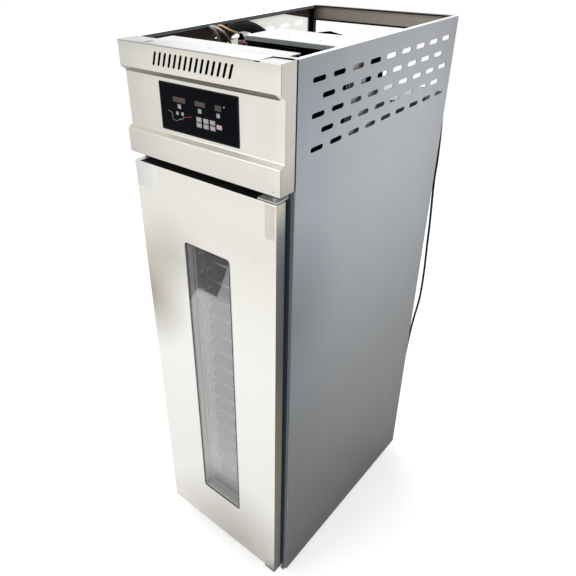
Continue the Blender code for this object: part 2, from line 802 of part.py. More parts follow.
def side_slots(side):
    """The outlines of a side panel's ventilation slots, in staggered rows."""
    slots = []
    shift, highest = (SLOT_LEFT_SHIFT, SLOT_TOP + SLOT_LEFT_LIFT) if side < 0 else (0, SLOT_TOP)
    for row, count in enumerate(SLOT_ROWS):
        stagger = SLOT_PITCH / 2 * (row % 2)
        level = highest - SLOT_ROW_PITCH * row
        for place in range(count):
            middle = FRONT + SLOT_FIRST + shift + stagger + SLOT_PITCH * place
            slots.append(round_slot(middle, level, SLOT_LENGTH, SLOT_HEIGHT, SLOT_STEPS))
    return slots


def side_panel(name, side):
    """A full-height side panel, folded inwards on all four edges, with a lip on its top fold."""
    outer = side * HALF
    inner = side * (HALF - RIM_FOLD)
    bm = bmesh.new()
    outline = rectangle(PANEL_FRONT, FOOT_HEIGHT, REAR, HEIGHT)
    add_face(bm, lay("X", outer, outline), [lay("X", outer, ring) for ring in side_slots(side)])
    for edge in (PANEL_FRONT, REAR):
        add_face(bm, lay("Y", edge, rectangle(outer, FOOT_HEIGHT, inner, HEIGHT)))
    add_face(bm, lay("Z", FOOT_HEIGHT, rectangle(outer, PANEL_FRONT, inner, REAR)))
    lip_front = PANEL_FRONT + LIP_END_GAP
    lip_rear = REAR - LIP_END_GAP
    top = [(outer, PANEL_FRONT), (inner, PANEL_FRONT), (inner, lip_front)]
    top += [(inner, lip_rear), (inner, REAR), (outer, REAR)]
    add_face(bm, lay("Z", HEIGHT, top))
    add_face(bm, lay("X", inner, rectangle(lip_front, HEIGHT - RIM_LIP, lip_rear, HEIGHT)))
    thicken(add_piece(name, bm, BODY_STEEL), SHEET, -1)


def rear_panel():
    """The back skin of the insulated body, which runs up behind the machine deck."""
    bm = bmesh.new()
    hole = circle(GLAND_X, GLAND_LEVEL, GLAND_NECK_RADIUS + CLEARANCE, ROUND_STEPS)
    outline = rectangle(-INSIDE, BASE_BOTTOM, INSIDE, DECK_HEIGHT + REAR_UPSTAND)
    add_plate(bm, "Y", REAR_SKIN_BACK - SHEET, REAR_SKIN_BACK, outline, [hole])
    add_piece("rear_panel", bm, BODY_STEEL)


def foot_places():
    """Where the four feet stand, with a name for each."""
    side = HALF - FOOT_INSET_SIDE
    ends = (("front", FRONT + FOOT_INSET_FRONT), ("rear", REAR - FOOT_INSET_REAR))
    return [
        (f"{end}_{hand}", sign * side, y)
        for end, y in ends
        for hand, sign in (("left", -1), ("right", 1))
    ]


def base_pan():
    """The floor plate, with a threaded sleeve welded over each foot's hole."""
    bore = FOOT_STEM_RADIUS + CLEARANCE
    holes = [circle(x, y, bore, FINE_STEPS) for _, x, y in foot_places()]
    outline = rectangle(-INSIDE, FOAM_FRONT, INSIDE, FOAM_BACK)
    bm = bmesh.new()
    add_plate(bm, "Z", BASE_BOTTOM, BASE_TOP, outline, holes)
    pan = add_piece("base_pan", bm, GALVANISED)
    sleeves = bmesh.new()
    top = BASE_TOP + SLEEVE_NUT_HEIGHT
    for (_, x, y), hole in zip(foot_places(), holes):
        rim = circle(x, y, SLEEVE_NUT_RADIUS, FINE_STEPS)
        add_plate(sleeves, "Z", (BASE_BOTTOM + BASE_TOP) / 2, top, rim, [hole])
    combine(pan, "foot_sleeves", sleeves, "UNION")


def levelling_feet():
    """Four feet that screw up and down, each on its own pivot."""
    nut_top = FOOT_PAD_HEIGHT + FOOT_NUT_HEIGHT
    profile = [(0, 0), (FOOT_PAD_RADIUS, 0)]
    profile += [(FOOT_PAD_RADIUS, FOOT_PAD_HEIGHT - FOOT_PAD_BEVEL)]
    profile += [(FOOT_PAD_RADIUS - FOOT_PAD_BEVEL, FOOT_PAD_HEIGHT)]
    profile += [(FOOT_NUT_RADIUS, FOOT_PAD_HEIGHT), (FOOT_NUT_RADIUS, nut_top)]
    profile += [(FOOT_STEM_RADIUS, nut_top), (FOOT_STEM_RADIUS, FOOT_STEM_TOP), (0, FOOT_STEM_TOP)]
    for place, x, y in foot_places():
        bm = bmesh.new()
        add_turned(bm, profile, (x, y, 0), steps=FINE_STEPS)
        foot = pivot(f"{place}_foot_axis", (x, y, 0))
        add_piece(f"{place}_foot", bm, BLACK_RUBBER, foot, smooth=True)


def machine_deck():
    """The roof of the insulated body, on which the machinery stands."""
    bm = bmesh.new()
    hole = circle(*PASSAGE, PASSAGE_RADIUS, ROUND_STEPS)
    outline = rectangle(-INSIDE, FOAM_FRONT, INSIDE, REAR_SKIN_BACK - SHEET - CLEARANCE)
    add_plate(bm, "Z", DECK_HEIGHT, DECK_TOP, outline, [hole])
    add_piece("machine_deck", bm, GALVANISED)


def insulation_foam():
    """The foam between the skins and the liner, open at the front."""
    bottom = BASE_TOP + CLEARANCE
    low = (-INSIDE, FOAM_FRONT, bottom)
    foam = add_piece("insulation_foam", block(low, (INSIDE, FOAM_BACK, DECK_HEIGHT - CLEARANCE)), FOAM_CREAM)
    room = SHEET + CLEARANCE
    low = (-CAVITY - room, FOAM_FRONT - OVERRUN, CAVITY_BOTTOM - room)
    combine(foam, "cavity_cutter", block(low, (CAVITY + room, LINER_BACK + room, CAVITY_TOP + room)), "DIFFERENCE")
    bores = bmesh.new()
    rise = DECK_HEIGHT - CAVITY_TOP + OVERRUN
    add_rod(bores, (*PASSAGE, CAVITY_TOP), (0, 0, 1), PASSAGE_RADIUS, rise)
    depth = SLEEVE_NUT_HEIGHT + OVERRUN
    for _, x, y in foot_places():
        start = (x, y, BASE_TOP - OVERRUN)
        add_rod(bores, start, (0, 0, 1), SLEEVE_NUT_RADIUS + CLEARANCE, depth + OVERRUN, FINE_STEPS)
    combine(foam, "bore_cutter", bores, "DIFFERENCE")


def inner_liner():
    """The stainless cold room: five walls and a flange behind the front frame."""
    wide = CAVITY + SHEET
    low = (-wide, LINER_FRONT, CAVITY_BOTTOM - SHEET)
    liner = add_piece("inner_liner", block(low, (wide, LINER_BACK + SHEET, CAVITY_TOP + SHEET)), BRIGHT)
    wide = CAVITY + LINER_FLANGE
    low = (-wide, LINER_FRONT, CAVITY_BOTTOM - LINER_FLANGE)
    flange = block(low, (wide, LINER_FRONT + SHEET, CAVITY_TOP + LINER_FLANGE))
    combine(liner, "liner_flange", flange, "UNION")
    low = (-CAVITY, LINER_FRONT - OVERRUN, CAVITY_BOTTOM)
    combine(liner, "liner_cutter", block(low, (CAVITY, LINER_BACK, CAVITY_TOP)), "DIFFERENCE")
    hole = bmesh.new()
    add_rod(hole, (*PASSAGE, CAVITY_TOP - OVERRUN), (0, 0, 1), PASSAGE_RADIUS, 2 * OVERRUN)
    combine(liner, "passage_cutter", hole, "DIFFERENCE")


def front_frame():
    """The frame round the doorway that the door seals against."""
    wide = HALF - FRAME_INSET
    outline = rectangle(-wide, FRAME_BOTTOM, wide, DECK_HEIGHT + FRAME_RISE)
    doorway = rectangle(-CAVITY, CAVITY_BOTTOM, CAVITY, CAVITY_TOP)
    bm = bmesh.new()
    add_plate(bm, "Y", FRAME_FRONT, FRAME_BACK, outline, [doorway])
    add_piece("front_frame", bm, SLATE)


def rail_ends():
    """Where the top rails end, beside the side panels' lips."""
    return HALF - RIM_FOLD - CLEARANCE


def lid_holes(offset):
    """The small holes for a cover's screws, in a row across the top."""
    row = (-LID_HOLE_SPREAD, 0, LID_HOLE_SPREAD)
    return [circle(x, FRONT + offset, LID_HOLE_RADIUS, FINE_STEPS // 2) for x in row]


def front_top_rail():
    """The rail behind the fascia: a flat top that stops short on the left, a front web and a rear lip."""
    end = rail_ends()
    start = FRONT + FRONT_RAIL_START
    back = start + FRONT_RAIL_WIDTH
    short = end - RAIL_CUT_ACROSS
    bm = bmesh.new()
    left = -end + RAIL_LEFT_GAP
    notch = back - RAIL_CUT_BACK
    top = [(left, start), (end, start), (end, notch), (short, notch), (short, back), (left, back)]
    add_face(bm, lay("Z", HEIGHT, top))
    bottom = HEIGHT - FRONT_RAIL_DROP
    web = [(-end, bottom), (end, bottom), (end, HEIGHT), (left, HEIGHT), (-end, HEIGHT)]
    add_face(bm, lay("Y", start, web))
    add_face(bm, lay("Y", back, rectangle(left, HEIGHT - RAIL_LIP, short, HEIGHT)))
    thicken(add_piece("front_top_rail", bm, BRIGHT), SHEET, -1)


def rear_top_rail():
    """The channel across the top of the back, open towards the front."""
    end = rail_ends()
    back = REAR - SHEET - CLEARANCE
    bm = bmesh.new()
    bottom = HEIGHT - REAR_RAIL_HEIGHT
    add_face(bm, lay("Y", back, rectangle(-end, bottom, end, HEIGHT)))
    for level in (bottom, HEIGHT):
        add_face(bm, lay("Z", level, rectangle(-end, back - REAR_RAIL_FOLD, end, back)))
    thicken(add_piece("rear_top_rail", bm, GALVANISED), SHEET, -1)


def rear_corner_post(name, side):
    """An angle post in a rear corner, from the deck up to the side panel's lip."""
    bottom = DECK_TOP + CLEARANCE
    top = HEIGHT - RIM_LIP - CLEARANCE
    back = REAR - SHEET - CLEARANCE - REAR_RAIL_FOLD - CLEARANCE
    outer = side * INSIDE
    inner = side * (INSIDE - POST_LEG)
    web = side * (INSIDE - POST_THICKNESS)
    angle = [(outer, back), (inner, back), (inner, back - POST_THICKNESS)]
    angle += [(web, back - POST_THICKNESS), (web, back - POST_LEG), (outer, back - POST_LEG)]
    bm = bmesh.new()
    add_plate(bm, "Z", bottom, top, angle)
    add_piece(name, bm, BLACK_PAINT)


def fascia_profile():
    """The fascia's front line from bottom to top, as (offset from the front, height) points."""
    return [
        (0, FASCIA_BOTTOM),
        (0, RECESS_BOTTOM - RECESS_BOTTOM_RAMP),
        (RECESS_DEPTH, RECESS_BOTTOM),
        (RECESS_DEPTH, RECESS_TOP),
        (0, RECESS_TOP + RECESS_TOP_RAMP),
        (0, HEIGHT),
    ]


def vent_slots():
    """The outlines of the fascia's leaning vents."""
    slots = []
    half_width = VENT_WIDTH / 2
    reach = VENT_HEIGHT / 2 - half_width
    lean = VENT_LEAN / VENT_HEIGHT
    first = VENT_CENTRE - VENT_PITCH * (VENT_COUNT - 1) / 2
    for place in range(VENT_COUNT):
        across = first + VENT_PITCH * place
        upright = arc(0, reach, half_width, 0, 180, SLOT_STEPS)
        upright += arc(0, -reach, half_width, 180, 360, SLOT_STEPS)
        slots.append([(across + a + b * lean, VENT_LEVEL + b) for a, b in upright])
    return slots


def fascia():
    """The pressed front cover of the machine compartment, with vents and a display opening."""
    bm = bmesh.new()
    profile = fascia_profile()
    opening = rectangle(
        DISPLAY_LEFT + WINDOW_MARGIN,
        DISPLAY_BOTTOM + WINDOW_MARGIN,
        DISPLAY_RIGHT - WINDOW_MARGIN,
        DISPLAY_TOP - WINDOW_MARGIN,
    )
    holes = {2: [lay("Y", FRONT + RECESS_DEPTH, opening)]}
    holes[4] = [lay("Y", FRONT, ring) for ring in vent_slots()]
    for step, ((near, low), (far, high)) in enumerate(zip(profile, profile[1:])):
        corners = [(-HALF, near, low), (HALF, near, low), (HALF, far, high), (-HALF, far, high)]
        add_face(bm, [Vector((x, FRONT + y, z)) for x, y, z in corners], holes.get(step, ()))
    for side in (-HALF, HALF):
        edge = [*profile, (FASCIA_DEPTH, HEIGHT), (FASCIA_DEPTH, FASCIA_BOTTOM), (FASCIA_SHELF, FASCIA_BOTTOM)]
        add_face(bm, [Vector((side, FRONT + y, z)) for y, z in edge])
    top = rectangle(-HALF, FRONT, HALF, FRONT + FASCIA_DEPTH)
    add_face(bm, lay("Z", HEIGHT, top), [lay("Z", HEIGHT, ring) for ring in lid_holes(LID_HOLE_INSET)])
    add_face(bm, lay("Z", FASCIA_BOTTOM, rectangle(-HALF, FRONT, HALF, FRONT + FASCIA_SHELF)))
    thicken(add_piece("fascia", bm, BRUSHED), SHEET, -1)


def display_panel():
    """The glossy display and key overlay, stuck on the floor of the recess."""
    face = FRONT + RECESS_DEPTH - CLEARANCE
    outline = rounded_rectangle(
        DISPLAY_LEFT, DISPLAY_BOTTOM, DISPLAY_RIGHT, DISPLAY_TOP, DISPLAY_CORNER, CORNER_STEPS
    )
    bm = bmesh.new()
    add_plate(bm, "Y", face - DISPLAY_THICKNESS, face, outline)
    add_piece("display_panel", bm, BLACK_GLOSS)


def control_board():
    """The circuit board behind the overlay, on standoffs that reach the fascia."""
    back = FRONT + RECESS_DEPTH + SHEET + CLEARANCE
    face = back + BOARD_STANDOFF
    left = DISPLAY_LEFT + BOARD_MARGIN
    right = DISPLAY_RIGHT - BOARD_MARGIN
    bottom = DISPLAY_BOTTOM + BOARD_MARGIN
    top = DISPLAY_TOP - BOARD_MARGIN
    board = add_piece(
        "control_board",
        block((left, face, bottom), (right, face + BOARD_THICKNESS, top)),
        BOARD_GREEN,
    )
    legs = bmesh.new()
    for x in (left + BOARD_STANDOFF_RADIUS, right - BOARD_STANDOFF_RADIUS):
        for z in (bottom + BOARD_STANDOFF_RADIUS, top - BOARD_STANDOFF_RADIUS):
            reach = BOARD_STANDOFF + BOARD_THICKNESS / 2
            add_rod(legs, (x, back, z), (0, 1, 0), BOARD_STANDOFF_RADIUS, reach, FINE_STEPS // 2)
    combine(board, "standoffs", legs, "UNION")


def door_outer_skin(door):
    """The door's front and edges, folded from one sheet, with the window cut out."""
    wide = DOOR_WIDTH / 2
    bm = bmesh.new()
    face = rectangle(-wide, DOOR_BOTTOM, wide, DOOR_TOP)
    add_face(bm, lay("Y", FRONT, face), [lay("Y", FRONT, glazing_outline(0))])
    for x in (-wide, wide):
        add_face(bm, lay("X", x, rectangle(FRONT, DOOR_BOTTOM, DOOR_BACK, DOOR_TOP)))
    hole = circle(HINGE_X, HINGE_Y, BUSH_RADIUS + CLEARANCE, ROUND_STEPS)
    for z in (DOOR_BOTTOM, DOOR_TOP):
        add_face(bm, lay("Z", z, rectangle(-wide, FRONT, wide, DOOR_BACK)), [lay("Z", z, hole)])
    skin = add_piece("door_outer_skin", bm, BRUSHED, door)
    thicken(skin, SHEET, -1)


def glazing_outline(inset):
    """The window's outline, drawn in by an inset."""
    return rounded_rectangle(
        GLAZING_LEFT + inset,
        GLAZING_BOTTOM + inset,
        GLAZING_RIGHT - inset,
        GLAZING_TOP - inset,
        GLAZING_CORNER - inset,
        CORNER_STEPS,
    )


def door_inner_skin(door):
    """The flat sheet that closes the door's back, inside its folded edges."""
    wide = DOOR_WIDTH / 2 - SHEET - CLEARANCE
    room = SHEET + CLEARANCE
    bm = bmesh.new()
    outline = rectangle(-wide, DOOR_BOTTOM + room, wide, DOOR_TOP - room)
    add_plate(bm, "Y", DOOR_BACK - SHEET, DOOR_BACK, outline, [glazing_outline(0)])
    add_piece("door_inner_skin", bm, BRIGHT, door)


def door_foam(door):
    """The foam core of the door, with bores for the hinge bushes."""
    room = SHEET + CLEARANCE
    wide = DOOR_WIDTH / 2 - room
    bm = bmesh.new()
    outline = rectangle(-wide, DOOR_BOTTOM + room, wide, DOOR_TOP - room)
    add_plate(bm, "Y", FRONT + room, DOOR_BACK - room, outline, [glazing_outline(0)])
    foam = add_piece("door_foam", bm, FOAM_CREAM, door)
    bores = bmesh.new()
    depth = BUSH_LENGTH + OVERRUN
    radius = BUSH_RADIUS + CLEARANCE
    add_rod(bores, (HINGE_X, HINGE_Y, DOOR_TOP - depth), (0, 0, 1), radius, depth + OVERRUN)
    add_rod(bores, (HINGE_X, HINGE_Y, DOOR_BOTTOM - OVERRUN), (0, 0, 1), radius, depth + OVERRUN)
    combine(foam, "bush_cutter", bores, "DIFFERENCE")


def window_frame(door):
    """The grey lining of the window, through the whole door."""
    bm = bmesh.new()
    inner = [glazing_outline(CLEARANCE + GLAZING_FRAME)]
    add_plate(bm, "Y", FRONT + CLEARANCE, DOOR_BACK, glazing_outline(CLEARANCE), inner)
    add_piece("window_frame", bm, FRAME_GREY, door)


def window_panes(door):
    """The outer and inner panes, held in the lining."""
    outline = glazing_outline(2 * CLEARANCE + GLAZING_FRAME)
    front = FRONT + GLASS_INSET
    back = DOOR_BACK - GLASS_INSET - GLASS
    for name, start in (("outer_glass", front), ("inner_glass", back)):
        bm = bmesh.new()
        add_plate(bm, "Y", start, start + GLASS, outline)
        add_piece(name, bm, GLASS_GREY, door)


def door_seal(door):
    """The magnetic seal round the door's back."""
    wide = DOOR_WIDTH / 2 - SEAL_OUTER
    low = DOOR_BOTTOM + SEAL_INSET
    high = DOOR_TOP - SEAL_INSET
    outer = rectangle(-wide, low, wide, high)
    inner = rectangle(-wide + SEAL_WIDTH, low + SEAL_WIDTH, wide - SEAL_WIDTH, high - SEAL_WIDTH)
    bm = bmesh.new()
    add_plate(bm, "Y", SEAL_FRONT, SEAL_BACK, outer, [inner])
    add_piece("door_seal", bm, BLACK_RUBBER, door)


def hinge_ends():
    """The hinge's two ends: name, door's edge, direction away from the door, gap, plate and leg."""
    return (
        ("upper", DOOR_TOP, 1, UPPER_BRACKET_GAP, UPPER_BRACKET_WIDTH, UPPER_BRACKET_RISE),
        ("lower", DOOR_BOTTOM, -1, LOWER_BRACKET_GAP, LOWER_BRACKET_WIDTH, LOWER_BRACKET_DROP),
    )


def hinge_bushes(door):
    """The flanged bushes in the door's top and bottom edges."""
    bore = PIN_RADIUS + CLEARANCE
    for end, level, away, gap, _, _ in hinge_ends():
        seat = CLEARANCE
        face = gap - CLEARANCE
        wall = [(bore, -BUSH_LENGTH), (BUSH_RADIUS, -BUSH_LENGTH), (BUSH_RADIUS, seat)]
        wall += [(BUSH_FLANGE_RADIUS, seat), (BUSH_FLANGE_RADIUS, face), (bore, face)]
        bm = bmesh.new()
        add_turned(bm, wall, (HINGE_X, HINGE_Y, level), (0, 0, away), FINE_STEPS)
        add_piece(f"{end}_hinge_bush", bm, BLACK_RUBBER, door, smooth=True)


def hinge_brackets():
    """The brackets that carry the door: a plate with the pin's hole, and a leg on the front frame."""
    right = HINGE_X + BRACKET_OVERHANG
    back = FRAME_FRONT - CLEARANCE
    hole = circle(HINGE_X, HINGE_Y, PIN_RADIUS + CLEARANCE, ROUND_STEPS)
    for end, edge, away, gap, width, leg in hinge_ends():
        left = right - width
        near = edge + away * gap
        far = near + away * BRACKET_THICKNESS
        outline = rectangle(left, FRONT + CLEARANCE, right, back)
        bm = bmesh.new()
        add_plate(bm, "Z", min(near, far), max(near, far), outline, [hole])
        piece = add_piece(f"{end}_hinge_bracket", bm, GALVANISED)
        root = far - away * BRACKET_THICKNESS / 2
        tip = far + away * leg
        low = (left, back - BRACKET_LEG, min(root, tip))
        high = (right, back, max(root, tip))
        combine(piece, f"{end}_bracket_leg", block(low, high), "UNION")


def hinge_pins():
    """The headed pins that pass through the brackets into the door's bushes."""
    for end, edge, away, gap, _, _ in hinge_ends():
        level = edge + away * (gap + BRACKET_THICKNESS)
        reach = BRACKET_THICKNESS + gap + PIN_DEPTH
        seat = -CLEARANCE
        head = -CLEARANCE - PIN_HEAD_HEIGHT
        profile = [(0, head), (PIN_HEAD_RADIUS, head), (PIN_HEAD_RADIUS, seat), (PIN_RADIUS, seat)]
        profile += [(PIN_RADIUS, reach), (0, reach)]
        bm = bmesh.new()
        add_turned(bm, profile, (HINGE_X, HINGE_Y, level), (0, 0, -away), FINE_STEPS)
        add_piece(f"{end}_hinge_pin", bm, BRIGHT, smooth=True)


def rest_levels():
    """The heights of the tray rests' middles."""
    return [TRAY_FIRST + TRAY_PITCH * place for place in range(TRAY_LEVELS)]


def rest_outline():
    """The outline of a tray rest and its bays, as (outline, holes)."""
    front = FRONT + REST_FRONT
    back = front + REST_LENGTH
    outline = rounded_rectangle(-REST_HALF_WIDTH, front, REST_HALF_WIDTH, back, REST_CORNER, REST_STEPS)
    bay = (2 * REST_HALF_WIDTH - REST_BAR) / REST_BAYS
    turn = REST_CORNER - REST_BAR
    low = front + REST_BAR
    high = back - REST_BAR
    left = -REST_HALF_WIDTH + REST_BAR
    right = left + bay - REST_BAR
    hole = [(right, low), (right, high)]
    hole += arc(left + turn, high - turn, turn, 90, 180, REST_STEPS)
    hole += arc(left + turn, low + turn, turn, 180, 270, REST_STEPS)
    return outline, [hole, [(-across, along) for across, along in hole]]


def tray_rack():
    """The welded rack: bar frames that trays rest on, between four uprights by the side walls."""
    outline, holes = rest_outline()
    bm = bmesh.new()
    for level in rest_levels():
        add_plate(bm, "Z", level - REST_BAR / 2, level + REST_BAR / 2, outline, holes)
    rack = add_piece("tray_rack", bm, BRIGHT)
    near = REST_HALF_WIDTH - UPRIGHT_OVERLAP
    far = CAVITY - CLEARANCE
    bottom = CAVITY_BOTTOM + CLEARANCE
    top = CAVITY_TOP - UPRIGHT_MARGIN
    front = FRONT + REST_FRONT + REST_CORNER + UPRIGHT_INSET
    back = FRONT + REST_FRONT + REST_LENGTH - REST_CORNER - UPRIGHT_INSET - UPRIGHT_THICKNESS
    uprights = bmesh.new()
    for left, right in ((-far, -near), (near, far)):
        for start in (front, back):
            add_block(uprights, (left, start, bottom), (right, start + UPRIGHT_THICKNESS, top))
    combine(rack, "rack_uprights", uprights, "UNION")


def air_duct_panel():
    """The sheet in front of the evaporator, with air slots and the fan's opening."""
    room = CLEARANCE
    slots = []
    for place in range(DUCT_SLOT_COUNT):
        level = DUCT_SLOT_FIRST + DUCT_SLOT_PITCH * place
        for x in (-DUCT_SLOT_SPREAD, DUCT_SLOT_SPREAD):
            slots.append(round_slot(x, level, DUCT_SLOT_LENGTH, DUCT_SLOT_HEIGHT, SLOT_STEPS))
    slots.append(circle(0, CABIN_FAN_LEVEL, CABIN_FAN_RADIUS, ROUND_STEPS))
    outline = rectangle(-CAVITY + room, CAVITY_BOTTOM + room, CAVITY - room, CAVITY_TOP - room)
    bm = bmesh.new()
    add_plate(bm, "Y", DUCT_Y, DUCT_Y + SHEET, outline, slots)
    add_piece("air_duct_panel", bm, BRIGHT)


def fan(prefix, x, front, level, radius, finish):
    """An axial fan that blows along Y: a ring with four arms, a motor behind it and its rotor.

    radius is the ring's inside radius.
    """
    back = front + FAN_RING_DEPTH
    outer = radius + FAN_RING_WALL
    core = MOTOR_RADIUS
    gaps = []
    spread = 90 - 2 * FAN_ARM_HALF_ANGLE
    steps = ROUND_STEPS // 4
    for quarter in range(4):
        start = 90 * quarter + FAN_ARM_HALF_ANGLE
        gap = arc(x, level, radius, start, start + spread, steps)
        gap += arc(x, level, core, start + spread, start, steps)
        gaps.append(gap)
    gaps.append(circle(x, level, FAN_SHAFT_RADIUS + FAN_SHAFT_GAP, FINE_STEPS))
    bm = bmesh.new()
    rim = circle(x, level, outer, ROUND_STEPS)
    add_plate(bm, "Y", back - FAN_PLATE, back, rim, gaps)
    ring = add_piece(f"{prefix}_fan_ring", bm, BLACK_PAINT)
    wall = bmesh.new()
    add_plate(wall, "Y", front, back - FAN_PLATE / 2, rim, [circle(x, level, radius, ROUND_STEPS)])
    combine(ring, f"{prefix}_fan_wall", wall, "UNION")

    axis_end = back + CLEARANCE
    bm = bmesh.new()
    profile = [(0, 0), (MOTOR_RADIUS, 0), (MOTOR_RADIUS, MOTOR_LENGTH - MOTOR_CHAMFER)]
    profile += [(MOTOR_RADIUS - MOTOR_CHAMFER, MOTOR_LENGTH), (0, MOTOR_LENGTH)]
    add_turned(bm, profile, (x, axis_end, level), (0, 1, 0))
    add_piece(f"{prefix}_fan_motor", bm, finish, smooth=True)

    spin = pivot(f"{prefix}_fan_axis", (x, front, level))
    hub_back = back - FAN_PLATE - CLEARANCE
    hub_front = hub_back - FAN_HUB_DEPTH
    bm = bmesh.new()
    profile = [(0, 0), (FAN_HUB_RADIUS, 0), (FAN_HUB_RADIUS, FAN_HUB_DEPTH)]
    profile += [(FAN_SHAFT_RADIUS, FAN_HUB_DEPTH), (FAN_SHAFT_RADIUS, back - hub_front)]
    profile += [(0, back - hub_front)]
    add_turned(bm, profile, (x, hub_front, level), (0, 1, 0))
    rotor = add_piece(f"{prefix}_fan_rotor", bm, BLACK_PAINT, spin, smooth=True)
    blades = fan_blades(radius - FAN_TIP_GAP)
    middle = (x, hub_front + FAN_HUB_DEPTH / 2, level)
    bmesh.ops.translate(blades, vec=middle, verts=blades.verts)
    combine(rotor, f"{prefix}_fan_blades", blades, "UNION")


def fan_blades(tip):
    """The flat blades of a rotor about the Y axis, set at a pitch and rooted inside the hub."""
    bm = bmesh.new()
    root = FAN_HUB_RADIUS - OVERRUN
    for blade in range(FAN_BLADES):
        plate = bmesh.new()
        half_root = FAN_BLADE_CHORD * FAN_BLADE_TAPER_share / 2
        half_tip = FAN_BLADE_CHORD / 2
        outline = [(root, -half_root), (tip, -half_tip), (tip, half_tip), (root, half_root)]
        add_plate(plate, "Y", -FAN_BLADE_THICKNESS / 2, FAN_BLADE_THICKNESS / 2, outline)
        pitch = Matrix.Rotation(math.radians(FAN_BLADE_PITCH), 4, "X")
        turn = Matrix.Rotation(math.radians(FAN_BLADE_START) + math.tau * blade / FAN_BLADES, 4, "Y")
        plate.transform(turn @ pitch)
        add_bmesh(bm, plate)
    bmesh.ops.recalc_face_normals(bm, faces=bm.faces)
    return bm


def finned_block(low, high, count, groove):
    """A coil's block of fins: a comb of grooves across its front face."""
    left, front, bottom = low
    right, back, top = high
    pitch = (right - left) / count
    depth = (back - front) / 4
    outline = [(left, back), (left, front)]
    for place in range(1, count):
        middle = left + pitch * place
        near = middle - groove / 2
        far = middle + groove / 2
        outline += [(near, front), (near, front + depth), (far, front + depth), (far, front)]
    outline += [(right, front), (right, back)]
    bm = bmesh.new()
    add_plate(bm, "Z", bottom, top, outline)
    return bm


def evaporator():
    """The evaporator coil, hung on the back of the cold room, with its pipes up through the roof."""
    front = DUCT_Y + SHEET + COIL_GAP
    half = COIL_WIDTH / 2
    top = COIL_LEVEL + COIL_HEIGHT
    low = (-half, front, COIL_LEVEL)
    bm = finned_block(low, (half, front + COIL_DEPTH, top), COIL_FIN_COUNT, COIL_FIN_GROOVE)
    coil = add_piece("evaporator_coil", bm, GALVANISED)
    extras = bmesh.new()
    reach = LINER_BACK - CLEARANCE - front - COIL_DEPTH + OVERRUN
    for x in (-half + STAND_RADIUS, half - STAND_RADIUS):
        for z in (COIL_LEVEL + STAND_RADIUS, top - STAND_RADIUS):
            start = (x, front + COIL_DEPTH - OVERRUN, z)
            add_rod(extras, start, (0, 1, 0), STAND_RADIUS / 2, reach, FINE_STEPS // 2)
    x, y = PASSAGE
    bottom = top - OVERRUN
    rise = DECK_TOP + CLEARANCE + CLAMP_HEIGHT + SHEET - bottom
    for across in (x - PASSAGE_SPREAD, x + PASSAGE_SPREAD):
        add_rod(extras, (across, y, bottom), (0, 0, 1), SUCTION_RADIUS, rise, FINE_STEPS)
    combine(coil, "evaporator_pipes", extras, "UNION")


def pipe_grommet():
    """The rubber block on the deck where the pipes pass down into the cold room."""
    x, y = PASSAGE
    bottom = DECK_TOP + CLEARANCE
    radius = PASSAGE_RADIUS + OVERRUN
    holes = []
    for across in (x - PASSAGE_SPREAD, x + PASSAGE_SPREAD):
        holes.append(circle(across, y, SUCTION_RADIUS + CLEARANCE, FINE_STEPS))
    bm = bmesh.new()
    add_plate(bm, "Z", bottom, bottom + CLAMP_HEIGHT, circle(x, y, radius, ROUND_STEPS), holes)
    add_piece("pipe_grommet", bm, BLACK_RUBBER)


def air_heater_route():
    """The way of the bent heating element between the coil and the fan."""
    y = (DUCT_Y + SHEET + LINER_BACK) / 2
    low = HEATER_LEVEL
    high = low + HEATER_DROP
    wide = HEATER_HALF_WIDTH
    bend = HEATER_DROP / 2
    anchor = LINER_BACK - CLEARANCE
    route = [(-wide, anchor, low), (-wide, y + bend, low), (-wide + bend / 2, y, low)]
    route += [(0, y, low), (wide - bend, y, low), (wide, y, (low + high) / 2)]
    route += [(wide - bend, y, high), (0, y, high), (-wide + bend / 2, y, high)]
    route += [(-wide, y + bend, high), (-wide, anchor, high)]
    return route


def humidifier_pan():
    """The water pan that gives the steam."""
    front = DUCT_Y + SHEET + CLEARANCE
    back = front + PAN_DEPTH
    half = PAN_WIDTH / 2
    bottom = CAVITY_BOTTOM + CLEARANCE
    top = bottom + PAN_HEIGHT
    pan = add_piece("humidifier_pan", block((-half, front, bottom), (half, back, top)), BRIGHT)
    low = (-half + PAN_WALL, front + PAN_WALL, bottom + PAN_WALL)
    room = block(low, (half - PAN_WALL, back - PAN_WALL, top + OVERRUN))
    combine(pan, "pan_cutter", room, "DIFFERENCE")


def pan_heater_route():
    """The way of the heating element that dips into the water pan."""
    front = DUCT_Y + SHEET + CLEARANCE
    y = front + PAN_DEPTH / 2
    level = CAVITY_BOTTOM + PAN_WALL + PAN_HEATER_GAP + PAN_HEATER_RADIUS
    wide = PAN_HEATER_HALF_WIDTH
    turn = PAN_HEATER_RISE
    anchor = LINER_BACK - CLEARANCE
    over = CAVITY_BOTTOM + CLEARANCE + PAN_HEIGHT + PAN_HEATER_RADIUS + turn
    route = [(-wide, anchor, over), (-wide, front + PAN_DEPTH, over), (-wide, y + turn, over - turn / 4)]
    route += [(-wide, y, over - turn), (-wide, y, level + turn), (-wide + turn, y, level), (0, y, level)]
    route += [(wide - turn, y, level), (wide, y, level + turn), (wide, y, over - turn)]
    route += [(wide, y + turn, over - turn / 4), (wide, front + PAN_DEPTH, over), (wide, anchor, over)]
    return route


def heating_elements():
    """The dry element that warms the air, and the wet one in the water pan."""
    pipe("air_heater", air_heater_route(), HEATER_RADIUS, BRIGHT)
    pipe("humidifier_heater", pan_heater_route(), PAN_HEATER_RADIUS, BRIGHT)


